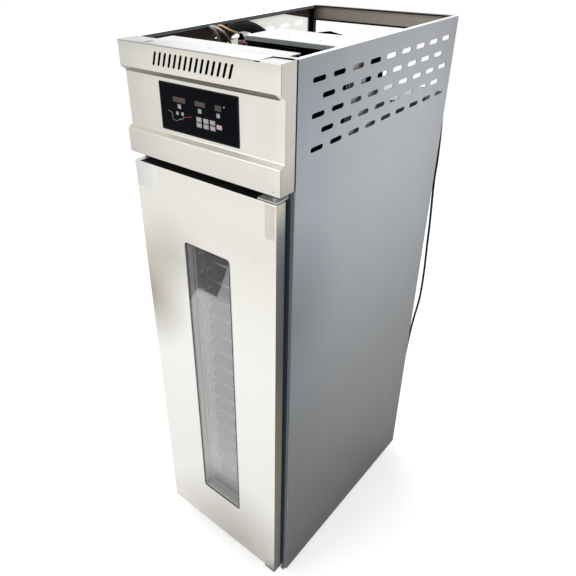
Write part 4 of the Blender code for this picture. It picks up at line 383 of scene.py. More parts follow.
def inner_side(name):
    """The left side's inner face: painted shade beside the compressor, pale towards the back, and a faint
    painted glow in its own tone.
    """
    made = Finish(name, srgb(240, 238, 230), 0.4, 0.0)
    along = made.along("Y", *PANEL_SHADE)
    # Painted shade near the front and painted light towards the back.
    low = made.ramp(
        along, tones((0.0, 10, 8, 8), (0.42, 16, 12, 11), (0.465, 250, 246, 232), (0.9, 252, 250, 243))
    )
    # Along the top, the painted shade reaches further back.
    high = tones((0.0, 24, 14, 12), (0.42, 44, 27, 22), (0.50, 26, 20, 18), (0.53, 238, 235, 224))
    high = made.ramp(along, high + tones((0.9, 252, 250, 243)))
    tone = made.blend(made.along("Z", 1.980, 1.986), low, high)
    cloud = made.noise(14.0, (1, 1, 1), 4.0)
    tone = made.worn(0.1, tone, cloud, (0.35, WARM_GREY), 0.65)
    # A faint painted glow, though the sheet is no lamp.
    made.links.new(tone, made.shader.inputs["Emission Color"])
    made.put("Emission Strength", 0.38)
    return made.painted(tone, cloud, (0.34, 0.5), 0.1, 0.0003)


def rear_rail_steel(name):
    """The back rail's brown-grey steel, with painted shade that darkens it towards its left."""
    made = Finish(name, srgb(128, 118, 110), 0.45, 0.2)
    across = tones((0.0, 128, 117, 108), (0.3, 140, 131, 121), (0.7, 165, 157, 147), (1.0, 178, 170, 160))
    tone = made.ramp(made.along("X", -HALF, HALF), across)
    cloud = made.noise(30.0, (1, 1, 1), 4.0)
    tone = made.worn(0.2, tone, cloud, (0.35, WARM_GREY), 0.65)
    return made.painted(tone, cloud, (0.4, 0.55), 0.1, 0.0003)


def shaded_pipe(name, stops, dark_before=None):
    """A pipe's metal, dark where it goes down among the machinery and lit over it."""
    made = Finish(name, stops[-1][1], 0.4, 0.2, Specular_IOR_Level=0.3)
    fine = made.noise(60.0)
    tone = made.ramp(made.along("Z", 1.95, TOP), stops)
    if dark_before:
        tone = made.blend(made.along("Y", *dark_before), stops[1][1], tone)
    tone = made.worn(0.25, tone, fine, (0.3, grey(0.6)), 0.7)
    return made.painted(tone, fine, (0.34, 0.48), 0.2)


def sticker_paper(name, left, right):
    """The bare sticker's paper, with painted shade that makes it a little darker on its left."""
    made = Finish(name, right, 0.75, 0.0)
    fine = made.noise(260.0)
    tone = made.ramp(made.along("X", STICKER[0], STICKER[2]), [(0.1, left), (0.9, right)])
    tone = made.worn(0.05, tone, fine, (0.3, grey(0.6)), 0.7)
    return made.painted(tone, fine, (0.68, 0.82), 0.1)


def window_bead(name, stops):
    """A bead or lining beside the glass, whose tone changes up the window as painted light and shade."""
    made = Finish(name, stops[0][1], 0.6, 0.0, Specular_IOR_Level=0.2)
    height = made.along("Z", *PANE_UP)
    cloud = made.noise(150.0)
    tone = made.worn(0.2, made.ramp(height, stops), cloud, (0.3, grey(0.5)), 0.7)
    return made.painted(tone, cloud, (0.52, 0.68), 0.1)


def bar_steel(name):
    """The tray bars' steel: shaded at the left upright, bright between the uprights."""
    made = Finish(name, srgb(240, 240, 238), 0.4, 0.0, Specular_IOR_Level=0.5)
    across = made.along("X", -RACK_HALF, RACK_HALF)
    stops = tones((0.0, 120, 120, 120), (0.03, 140, 140, 140), (0.2, 200, 200, 199), (0.38, 252, 252, 250))
    stops += tones((0.95, 252, 252, 250), (1.0, 150, 150, 150))
    grain = made.noise(200.0)
    tone = made.worn(0.1, made.ramp(across, stops), grain, (0.3, grey(0.6)), 0.7)
    return made.painted(tone, grain, (0.32, 0.48), 0.1)


DOOR_STEEL = brushed_front("brushed_door_steel")
BEAD_GREY = window_bead(
    "grey_glazing_rubber",
    tones((0.0, 26, 26, 28), (0.40, 34, 34, 36), (0.60, 110, 112, 112), (1.0, 60, 62, 62)),
)
EDGE_STEEL = window_bead(
    "bright_lining_steel",
    tones((0.0, 250, 250, 250), (0.03, 244, 244, 244), (0.07, 170, 170, 170), (1.0, 150, 150, 150)),
)
FASCIA_STEEL = brushed_fascia("brushed_fascia_steel")
CASE_STEEL = case_steel("blue_grey_case_steel")
INNER_SIDE = inner_side("left_side_inner_face")
# A dark sheet: painted shade at the edges of the right side's slots.
DARK_SHEET = mottled("dark_inner_sheet", srgb(70, 72, 74), 0.5, 0.2, 60.0, 0.1, Specular_IOR_Level=0.2)
INNER_STEEL = mottled("inner_stainless", srgb(206, 206, 202), 0.30, 0.5, 500.0, 0.05, (1, 1, 0.01))
RACK_STEEL = mottled("rack_stainless", srgb(176, 176, 172), 0.34, 0.4, 300.0, 0.06, (1, 1, 0.02))
# Lighter copies of the rack's steel for its bars, runs and lugs: painted light inside the door.
BAR_STEEL = bar_steel("bright_bar_steel")
RUN_STEEL = mottled("shaded_run_steel", srgb(206, 207, 207), 0.45, 0.0, 200.0, 0.05)
LUG_STEEL = mottled("bright_lug_steel", srgb(244, 244, 242), 0.4, 0.0, 200.0, 0.05)
ZINC = mottled("galvanised_sheet", srgb(176, 178, 178), 0.42, 0.5, 45.0, 0.10)
SHADED_ZINC = mottled("shaded_zinc", srgb(120, 128, 127), 0.5, 0.3, 60.0, 0.06)
BRIGHT_SHEET = mottled("bright_galvanised", srgb(206, 207, 209), 0.40, 0.2, 30.0, 0.04)
RIVET = mottled("rivet_steel", srgb(188, 190, 190), 0.30, 0.7, 120.0, 0.08)
BROWN_RAIL = rear_rail_steel("brown_grey_rail")
BLACK_ENAMEL = mottled("black_enamel", srgb(16, 16, 18), 0.36, 0.0, 90.0, 0.25, Specular_IOR_Level=0.3)
BLACK_WIRE = mottled("black_wire", srgb(20, 20, 21), 0.45, 0.0, 90.0, 0.2, Specular_IOR_Level=0.3)
SLATE = mottled("slate_frame", srgb(52, 62, 80), 0.5, 0.1, 60.0, 0.12)
LINING = mottled("pale_window_lining", srgb(196, 194, 188), 0.35, 0.4, 200.0, 0.06)
SEAL_RUBBER = mottled("seal_rubber", srgb(34, 34, 36), 0.7, 0.0, 150.0, 0.2, Specular_IOR_Level=0.2)
# Black rubber, and black strips of painted shade over and on top of the door, on the left lip and along the
# gusset.
RUBBER_AND_SHADE = mottled("black_rubber_and_painted_shade", srgb(14, 14, 15), 0.66, 0.0, 200.0, 0.25, Specular_IOR_Level=0.15)
# Black for black parts, and for painted shade seen through holes, vents and the rail's notch.
BLACK_PARTS_AND_SHADE = mottled("black_parts_and_painted_shade", srgb(3, 3, 4), 0.9, 0.0, 900.0, 0.4, Specular_IOR_Level=0.0)
FOAM_SLEEVE = mottled(
    "foam_sleeve", srgb(18, 18, 20), 0.80, 0.0, 700.0, 0.5, depth=0.0006, Specular_IOR_Level=0.25
)
DISPLAY_BLACK = mottled(
    "display_black", srgb(8, 9, 15), 0.16, 0.0, 40.0, 0.2, depth=0.00005, Specular_IOR_Level=0.025
)
DISPLAY_LINE = mottled("display_border", srgb(40, 42, 50), 0.4, 0.0, 90.0, 0.1, Specular_IOR_Level=0.1)
WINDOW_BROWN = mottled("number_window", srgb(86, 76, 72), 0.3, 0.0, 400.0, 0.2, Specular_IOR_Level=0.1)
DIGIT_BROWN = mottled("unlit_digits", srgb(60, 50, 48), 0.4, 0.0, 90.0, 0.1, Specular_IOR_Level=0.1)
KEY_PALE = mottled("pale_keys", srgb(170, 170, 168), 0.5, 0.0, 300.0, 0.06, Specular_IOR_Level=0.2)
KEY_ROSE = mottled("rosy_key", srgb(190, 160, 162), 0.5, 0.0, 300.0, 0.06, Specular_IOR_Level=0.2)
LINE_TEAL = mottled("teal_line", srgb(96, 150, 156), 0.5, 0.0, 90.0, 0.1, Specular_IOR_Level=0.1)
LINE_RED = mottled("red_line", srgb(186, 60, 74), 0.5, 0.0, 90.0, 0.1, Specular_IOR_Level=0.1)
PAPER = sticker_paper("white_paper", srgb(206, 206, 207), srgb(225, 225, 222))
TAPE = mottled("protective_tape", srgb(209, 204, 190), 0.35, 0.0, 60.0, 0.05)
LIT_SHEET = mottled("lit_shroud_sheet", srgb(206, 200, 190), 0.45, 0.0, 30.0, 0.06)
RAIL_SHEET = mottled("bright_rail_sheet", srgb(200, 201, 203), 0.40, 0.2, 30.0, 0.03)
# A slate tone for the painted dark reflection on the left side's top lip.
LIP_REFLECTION = mottled("lip_painted_reflection", srgb(104, 110, 114), 0.6, 0.0, 120.0, 0.15, Specular_IOR_Level=0.2)
# Black standing for shade on the back posts and on the back rail's edges.
SHADE_BLACK = mottled("black_painted_shade", srgb(8, 8, 9), 0.6, 0.0, 90.0, 0.2, Specular_IOR_Level=0.1)
GUSSET_BROWN = mottled("brown_gusset", srgb(64, 48, 40), 0.5, 0.1, 40.0, 0.2, Specular_IOR_Level=0.2)
BOARD = mottled("board_green", srgb(24, 84, 52), 0.45, 0.0, 120.0, 0.25)
FOAM = mottled("cream_foam", srgb(222, 208, 162), 0.9, 0.0, 220.0, 0.15, depth=0.001)
COPPER = mottled("copper_tube", srgb(158, 128, 104), 0.42, 0.35, 60.0, 0.25)
GOLD_PIPE = shaded_pipe(
    "liquid_line_copper",
    tones((0.0, 30, 22, 18), (0.60, 48, 34, 28), (0.74, 190, 158, 120), (1.0, 224, 194, 152)),
)
BEND_COPPER = mottled("copper_bends", srgb(98, 52, 44), 0.28, 0.4, 80.0, 0.3)
BRASS = mottled("brazed_brass", srgb(176, 150, 96), 0.36, 0.7, 120.0, 0.2)
DARK_COPPER = shaded_pipe(
    "discharge_copper",
    tones(
        (0.0, 26, 22, 21), (0.50, 44, 36, 33), (0.72, 108, 96, 86), (0.82, 214, 204, 184),
        (0.95, 236, 226, 206)
    ),
    (-0.140, -0.128),
)
WIRE_GREY = mottled("grey_wire", srgb(120, 122, 126), 0.5, 0.0, 120.0, 0.1)
FIN_BLACK = mottled(
    "black_fins", srgb(12, 12, 14), 0.6, 0.0, 260.0, 0.3, (1, 1, 0.2), Specular_IOR_Level=0.15
)
ALUMINIUM_FINS = mottled("aluminium_fins", srgb(190, 192, 194), 0.38, 0.8, 400.0, 0.1, (1, 1, 0.05))
PLASTIC_BLACK = mottled("black_plastic", srgb(20, 20, 22), 0.42, 0.0, 240.0, 0.2, Specular_IOR_Level=0.3)
# Each pane's painted reflection: its tone, its share and its stepped edge.
GLASS_OUTER = window_glass("outer_glass", srgb(248, 250, 250), 0.106, (1.3787, 1.1966, 1.312))
GLASS_INNER = window_glass("inner_glass", srgb(248, 250, 250), 0.15, (1.4033, 1.2506, 1.281))

NODE_FINISH = {
    "door_outer_skin": DOOR_STEEL,
    "fascia": FASCIA_STEEL,
    "left_side_panel": CASE_STEEL,
    "right_side_panel": CASE_STEEL,
    "rear_panel": ZINC,
    "machine_deck": ZINC,
    "base_pan": ZINC,
    "control_box": ZINC,
    "control_box_lid": ZINC,
    "front_top_rail": RAIL_SHEET,
    "condenser_shroud": BRIGHT_SHEET,
    "rear_top_rail": BROWN_RAIL,
    "rear_left_post": SHADE_BLACK,
    "rear_right_post": SHADE_BLACK,
    "front_frame": SLATE,
    "inner_liner": INNER_STEEL,
    "door_inner_skin": INNER_STEEL,
    "air_duct_panel": INNER_STEEL,
    "tray_rack": INNER_STEEL,
    "humidifier_pan": INNER_STEEL,
    "window_frame": LINING,
    "door_seal": SEAL_RUBBER,
    "upper_hinge_bracket": ZINC,
    "lower_hinge_bracket": ZINC,
    "upper_hinge_pin": ZINC,
    "lower_hinge_pin": ZINC,
    "upper_hinge_bush": PLASTIC_BLACK,
    "lower_hinge_bush": PLASTIC_BLACK,
    "display_panel": DISPLAY_BLACK,
    "control_board": BOARD,
    "insulation_foam": FOAM,
    "door_foam": FOAM,
    "outer_glass": GLASS_OUTER,
    "inner_glass": GLASS_INNER,
    "insulated_suction_pipe": FOAM_SLEEVE,
    "discharge_pipe": DARK_COPPER,
    "liquid_pipe": GOLD_PIPE,
    "filter_drier": COPPER,
    "compressor": BLACK_ENAMEL,
    "terminal_cover": PLASTIC_BLACK,
    "liquid_receiver": BLACK_ENAMEL,
    "condenser_coil": FIN_BLACK,
    "condenser_fan_ring": BLACK_PARTS_AND_SHADE,
    "condenser_fan_rotor": PLASTIC_BLACK,
    "condenser_fan_motor": BLACK_ENAMEL,
    "cabin_fan_ring": PLASTIC_BLACK,
    "cabin_fan_rotor": PLASTIC_BLACK,
    "cabin_fan_motor": ZINC,
    "evaporator_coil": ALUMINIUM_FINS,
    "air_heater": INNER_STEEL,
    "humidifier_heater": INNER_STEEL,
    "pipe_grommet": RUBBER_AND_SHADE,
    "cord_gland": PLASTIC_BLACK,
    "power_cord": RUBBER_AND_SHADE,
    "cord_coil": RUBBER_AND_SHADE,
    "power_plug": PLASTIC_BLACK,
    "front_left_foot": ZINC,
    "front_right_foot": ZINC,
    "rear_left_foot": ZINC,
    "rear_right_foot": ZINC,
}

for node, finish in NODE_FINISH.items():
    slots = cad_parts[node].data.materials
    slots.clear()
    slots.append(finish)

# ---------------------------------------------------------------- making pieces

SMOOTH_BELOW = math.radians(40)
MERGE = 1e-6


def mount(piece, body, stands_for):
    """Put a piece on a body of the cabinet, and say which nodes it stands for."""
    bpy.context.scene.collection.objects.link(piece)
    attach(piece, body)
    if stands_for:
        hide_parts(*stands_for)
    return piece


def keep(bm, name, material, body, stands_for=(), smooth=False):
    """Make a piece from a bmesh, on a body of the cabinet."""
    mesh = bpy.data.meshes.new(name)
    for face in bm.faces:
        face.smooth = smooth
    bm.to_mesh(mesh)
    bm.free()
    if smooth:
        mesh.set_sharp_from_angle(angle=SMOOTH_BELOW)
    mesh.materials.append(material)
    return mount(bpy.data.objects.new(name, mesh), body, stands_for)


def join(bm, *others):
    """Move other bmeshes' geometry into one."""
    for other in others:
        carried = bpy.data.meshes.new("carried")
        other.to_mesh(carried)
        other.free()
        bm.from_mesh(carried)
        bpy.data.meshes.remove(carried)
    return bm


def block(low, high, radius=0.0, segments=2):
    """A block between two corners, with rounded edges."""
    low, high = Vector(low), Vector(high)
    bm = bmesh.new()
    bmesh.ops.create_cube(bm, size=1.0)
    bmesh.ops.scale(bm, vec=high - low, verts=bm.verts)
    bmesh.ops.translate(bm, vec=(low + high) / 2, verts=bm.verts)
    if radius:
        bmesh.ops.bevel(
            bm, geom=bm.edges[:], offset=radius, segments=segments, profile=0.5, affect="EDGES", material=-1
        )
    return bm


def turned(profile, place, axis=(0, 0, 1), steps=24):
    """A round piece from (radius, height) pairs, turned about an axis."""
    bm = bmesh.new()
    verts = [bm.verts.new((radius, 0, height)) for radius, height in profile]
    edges = [bm.edges.new(pair) for pair in zip(verts, verts[1:])]
    if profile[0][0] > 0:
        edges.append(bm.edges.new((verts[-1], verts[0])))
    bmesh.ops.spin(
        bm, geom=verts + edges, axis=(0, 0, 1), cent=(0, 0, 0), angle=math.tau, steps=steps, use_merge=True
    )
    bmesh.ops.remove_doubles(bm, verts=bm.verts, dist=MERGE)
    bmesh.ops.recalc_face_normals(bm, faces=bm.faces)
    turn = Vector((0, 0, 1)).rotation_difference(Vector(axis)).to_matrix().to_4x4()
    bm.transform(Matrix.Translation(place) @ turn)
    return bm


def filled(curve):
    """A curve's solid as a bmesh."""
    carrier = bpy.data.objects.new("carrier", curve)
    mesh = bpy.data.meshes.new_from_object(carrier)
    bm = bmesh.new()
    bm.from_mesh(mesh)
    bpy.data.objects.remove(carrier)
    bpy.data.curves.remove(curve)
    bpy.data.meshes.remove(mesh)
    bmesh.ops.remove_doubles(bm, verts=bm.verts, dist=MERGE)
    bmesh.ops.recalc_face_normals(bm, faces=bm.faces)
    return bm


def plate(outline, holes, axis, low, high):
    """A flat plate with holes, between two levels of an axis."""
    curve = bpy.data.curves.new("outline", "CURVE")
    curve.dimensions = "2D"
    curve.fill_mode = "BOTH"
    curve.extrude = (high - low) / 2
    for ring in (outline, *holes):
        spline = curve.splines.new("POLY")
        spline.points.add(len(ring) - 1)
        for point, (across, up) in zip(spline.points, ring):
            point.co = (across, up, 0, 1)
        spline.use_cyclic_u = True
    bm = filled(curve)
    turns = {
        "X": Matrix(((0, 0, 1, 0), (1, 0, 0, 0), (0, 1, 0, 0), (0, 0, 0, 1))),
        "Y": Matrix(((1, 0, 0, 0), (0, 0, -1, 0), (0, 1, 0, 0), (0, 0, 0, 1))),
        "Z": Matrix.Identity(4),
    }
    middle = (low + high) / 2
    shift = {"X": (middle, 0, 0), "Y": (0, middle, 0), "Z": (0, 0, middle)}[axis]
    bm.transform(Matrix.Translation(shift) @ turns[axis])
    return bm


def round_line(name, points, radius, resolution, cyclic=False):
    """A curve along points with a round section."""
    curve = bpy.data.curves.new(name, "CURVE")
    curve.dimensions = "3D"
    curve.bevel_depth = radius
    curve.bevel_resolution = resolution
    curve.use_fill_caps = True
    spline = curve.splines.new("POLY")
    spline.points.add(len(points) - 1)
    for point, place in zip(spline.points, points):
        point.co = (*place, 1.0)
    spline.use_cyclic_u = cyclic
    spline.use_smooth = True
    return curve


def tube(points, radius, cyclic=False, resolution=2):
    """A round tube along points."""
    return filled(round_line("tube", points, radius, resolution, cyclic))


def cut(bm, tool, operation="DIFFERENCE"):
    """Cut a bmesh with another one, or join the two in one skin."""
    pair = []
    for part in (bm, tool):
        mesh = bpy.data.meshes.new("cutting")
        part.to_mesh(mesh)
        part.free()
        piece = bpy.data.objects.new("cutting", mesh)
        bpy.context.scene.collection.objects.link(piece)
        pair.append(piece)
    change = pair[0].modifiers.new("cut", "BOOLEAN")
    change.operation = operation
    change.solver = "EXACT"
    change.object = pair[1]
    bpy.context.view_layer.update()
    made = bmesh.new()
    made.from_object(pair[0], bpy.context.evaluated_depsgraph_get())
    for piece in pair:
        mesh = piece.data
        bpy.data.objects.remove(piece)
        bpy.data.meshes.remove(mesh)
    return made


def ring(left, bottom, right, top, radius=0.0, steps=6):
    """The outline of a rectangle with round corners."""
    if not radius:
        return [(left, bottom), (right, bottom), (right, top), (left, top)]
    points = []
    corners = ((right, top, -1, -1), (left, top, 1, -1), (left, bottom, 1, 1), (right, bottom, -1, 1))
    for start, (x, y, aside, down) in zip((0, 90, 180, 270), corners):
        for step in range(steps + 1):
            angle = math.radians(start + 90 * step / steps)
            points.append((x + radius * (aside + math.cos(angle)), y + radius * (down + math.sin(angle))))
    return points


def round_slot(across, up, length, height, lean=0.0):
    """The outline of a slot with round ends, level or, if it is taller than wide, upright."""
    radius = min(length, height) / 2
    points = ring(-length / 2, -height / 2, length / 2, height / 2, radius - MERGE, 4)
    return [(across + a + lean * b, up + b) for a, b in points]


def eased(points, radius, steps=3):
    """A line through points with its inner corners rounded."""
    points = [Vector(point) for point in points]
    made = [points[0]]
    for before, corner, after in zip(points, points[1:], points[2:]):
        start = corner + (before - corner).normalized() * radius
        end = corner + (after - corner).normalized() * radius
        for step in range(steps + 1):
            t = step / steps
            made.append(start * (1 - t) ** 2 + corner * 2 * t * (1 - t) + end * t**2)
    return [*made, points[-1]]


def frame_run(section, outline):
    """A frame with mitred or round corners from a closed section of (inset, level) points."""
    bm = bmesh.new()
    for pair in zip(section, section[1:] + section[:1]):
        strip = bmesh.new()
        edges = []
        for inset, level in pair:
            verts = [strip.verts.new((x, level, z)) for x, z in outline(inset)]
            edges += [strip.edges.new((verts[i - 1], verts[i])) for i in range(len(verts))]
        bmesh.ops.bridge_loops(strip, edges=edges)
        join(bm, strip)
    bmesh.ops.remove_doubles(bm, verts=bm.verts, dist=MERGE)
    bmesh.ops.recalc_face_normals(bm, faces=bm.faces)
    return bm


def square_bead(inset, far, front, back):
    """A bead's section with square corners, between two insets and two levels."""
    return [(inset, front), (far, front), (far, back), (inset, back)]


def screws(places, axis, radius=0.004, height=0.0018):
    """Pan heads with a recess, all with their axis one way."""
    profile = [(0, 0), (radius, 0), (radius, 0.45 * height), (0.72 * radius, height)]
    profile += [(0.38 * radius, height), (0.30 * radius, 0.5 * height), (0, 0.45 * height)]
    bm = bmesh.new()
    for place in places:
        join(bm, turned(profile, place, axis, 10))
    return bm


def smooth_points(route, spacing):
    """Points at an even spacing on a smooth curve through a route, straight at its ends."""
    places = [Vector(place) for place in route[1:-1]]
    padded = [Vector(route[0]), *places, Vector(route[-1])]
    fine = []
    for before, start, end, after in zip(padded, padded[1:], padded[2:], padded[3:]):
        count = max(2, math.ceil(8 * (end - start).length / spacing))
        for step in range(count):
            t = step / count
            bend = (-before + 3 * start - 3 * end + after) * t**3
            bend += (2 * before - 5 * start + 4 * end - after) * t**2
            bend += (end - before) * t
            fine.append(start + bend / 2)
    fine.append(places[-1])
    total = sum((b - a).length for a, b in zip(fine, fine[1:]))
    count = max(2, round(total / spacing))
    points = [padded[0], fine[0]]
    run = 0
    for a, b in zip(fine, fine[1:]):
        run += (b - a).length
        if run >= total * (len(points) - 1) / count and len(points) <= count:
            points.append(b)
    return [*points, fine[-1], padded[-1]]


# ---------------------------------------------------------------- mains cord

CORD_DIAMETER = 0.009
CORD_ROUTE = [
    (0.2550, 0.5103, 1.7650),
    (0.2550, 0.5163, 1.7650),
    (0.2551, 0.5343, 1.7602),
    (0.2555, 0.5475, 1.7470),
    (0.2565, 0.5523, 1.7290),
    (0.2612, 0.5520, 1.6800),
    (0.2655, 0.5513, 1.6276),
    (0.2698, 0.5510, 1.5200),
    (0.2699, 0.5510, 1.4247),
    (0.2795, 0.5510, 1.2464),
    (0.2825, 0.5510, 1.1520),
    (0.2882, 0.5510, 1.0100),
    (0.2874, 0.5510, 0.8780),
    (0.2734, 0.5510, 0.7440),
    (0.2640, 0.5510, 0.6040),
    (0.2580, 0.5515, 0.4500),
    (0.2530, 0.5525, 0.3000),
    (0.2500, 0.5560, 0.1500),
    (0.2450, 0.5620, 0.0800),
    (0.2300, 0.5740, 0.0330),
    (0.2030, 0.5880, 0.0115),
    (0.1700, 0.5995, 0.0050),
    (0.1400, 0.6070, 0.0048),
    (0.1200, 0.6090, 0.0048),
    (0.1083, 0.6090, 0.0048),
]
COIL_CENTRE = Vector((0.090, 0.553, 0))
COIL_RADIUS = 0.056
COIL_PITCH = 0.0114
COIL_TURNS = 3
COIL_STEPS = 24
COIL_CLIMB = 0.5
CORD_LEVEL = CORD_DIAMETER / 2 + 0.0003


def coil_points():
    """The coil's turns: in along the floor, up a layer while it reverses, and out again."""
    inward = (COIL_TURNS - COIL_CLIMB) / 2
    points = []
    for step in range(COIL_TURNS * COIL_STEPS + 1):
        turn = step / COIL_STEPS
        drawn_in = min(turn, inward, COIL_TURNS - turn)
        radius = COIL_RADIUS - COIL_PITCH * drawn_in
        rise = min(max((turn - inward) / COIL_CLIMB, 0), 1)
        height = CORD_LEVEL + COIL_PITCH * (1 - math.cos(math.pi * rise)) / 2
        angle = math.tau * turn + math.pi / 2
        points.append(COIL_CENTRE + Vector((radius * math.cos(angle), radius * math.sin(angle), height)))
    last = points[-1]
    points.append(last - Vector((CORD_DIAMETER, 0, 0)))
    points.append(last - Vector((2 * CORD_DIAMETER, 0, 0)))
    return points


def mains_cord():
    """The free cord from the gland, down behind the cabinet and into its coil."""
    points = smooth_points(CORD_ROUTE, 3 * CORD_DIAMETER)[:-1]
    start = COIL_CENTRE + Vector((2 * CORD_DIAMETER, COIL_RADIUS, CORD_LEVEL))
    points += [start, start - Vector((CORD_DIAMETER, 0, 0))]
    points += coil_points()
    curve = round_line("mains_cord", points, CORD_DIAMETER / 2, 6)
    curve.materials.append(RUBBER_AND_SHADE)
    cord = mount(bpy.data.objects.new("mains_cord", curve), "cabinet", ["power_cord", "cord_coil"])


# ---------------------------------------------------------------- case

PANEL_FRONT = -0.4135
PANEL_BOTTOM = 0.040
OPEN_HALF = 0.2790
FOLD = 0.015
LIP = 0.010
SLOT_ROWS = (9, 8, 9, 8, 9)
SLOT_PITCH = 0.091
SLOT_FIRST = -0.3242
SLOT_LEFT_SHIFT = -0.017
SLOT_LEFT_LIFT = 0.0044
SLOT_TOP = 1.9901
SLOT_ROW_PITCH = 0.0448
SLOT_SIZE = (0.057, 0.014)
SEAM_ACROSS = (0.2900, 0.2947)
SEAM_BOTTOM = 1.7215
FLANGE_END = 0.2224
EDGE_ACROSS = (-0.2797, -0.2783)
EDGE_LENGTH = (-0.398, 0.462)
LINED_AT = (0.2930, 0.2937)
GUSSET = [(0.286, 2.0368), (0.446, 2.006), (0.446, 2.0368)]
GUSSET_ACROSS = (-0.2927, -0.2917)
# The line of painted shadow under the gusset.
GUSSET_EDGE = [(-0.2916, 0.288, 2.0356), (-0.2916, 0.445, 2.0056)]
REAR_EDGE_LENGTH = (0.4612, 0.4634)
# Levels of the black strips of painted shade on the back rail.
REAR_EDGE_LEVELS = ((TOP - 0.0048, TOP - 0.0004), (TOP - 0.0535, TOP - 0.0472))
RIM_ROUNDING = 0.0006
SAME_LEVEL = 1e-5


def slot_rings(side):
    """The outlines of a side panel's ventilation slots, in staggered rows."""
    rings = []
    first = SLOT_FIRST + (SLOT_LEFT_SHIFT if side < 0 else 0)
    highest = SLOT_TOP + (SLOT_LEFT_LIFT if side < 0 else 0)
    for row, count in enumerate(SLOT_ROWS):
        stagger = SLOT_PITCH / 2 * (row % 2)
        level = highest - SLOT_ROW_PITCH * row
        rings += [round_slot(first + stagger + SLOT_PITCH * n, level, *SLOT_SIZE) for n in range(count)]
    return rings


def side_panel(hand, side):
    """A side panel with round-ended slots, folded in on all four edges, with a lip on its top fold."""
    spread = sorted((side * HALF, side * (HALF - SHEET)))
    bm = plate(ring(PANEL_FRONT, PANEL_BOTTOM, REAR, TOP), slot_rings(side), "X", *spread)
    levels = ((1, PANEL_FRONT), (1, REAR), (2, TOP), (2, PANEL_BOTTOM))

    def lies(edge, axis, level):
        return all(abs(vert.co[axis] - level) < SAME_LEVEL for vert in edge.verts)

    outer = [edge for edge in bm.edges if lies(edge, 0, side * HALF)]
    rim = [edge for edge in outer if any(lies(edge, axis, level) for axis, level in levels)]
    bmesh.ops.bevel(bm, geom=rim, offset=RIM_ROUNDING, segments=2, profile=0.5, affect="EDGES", material=-1)
    near, far = sorted((side * (HALF - FOLD), side * (HALF - SHEET)))
    lip = sorted((side * (HALF - FOLD), side * (HALF - FOLD + SHEET)))
    folds = (
        ((near, PANEL_FRONT, PANEL_BOTTOM), (far, PANEL_FRONT + SHEET, TOP)),
        ((near, REAR - SHEET, PANEL_BOTTOM), (far, REAR, TOP)),
        ((near, PANEL_FRONT + SHEET, PANEL_BOTTOM), (far, REAR - SHEET, PANEL_BOTTOM + SHEET)),
        ((near, PANEL_FRONT + SHEET, TOP - SHEET), (far, REAR - SHEET, TOP)),
        ((lip[0], PANEL_FRONT + LIP, TOP - LIP), (lip[1], REAR - LIP, TOP - SHEET)),
    )
    for low, high in folds:
        join(bm, block(low, high, 0.0003, 1))
    keep(bm, f"{hand}_case_side", CASE_STEEL, "cabinet", [f"{hand}_side_panel"])


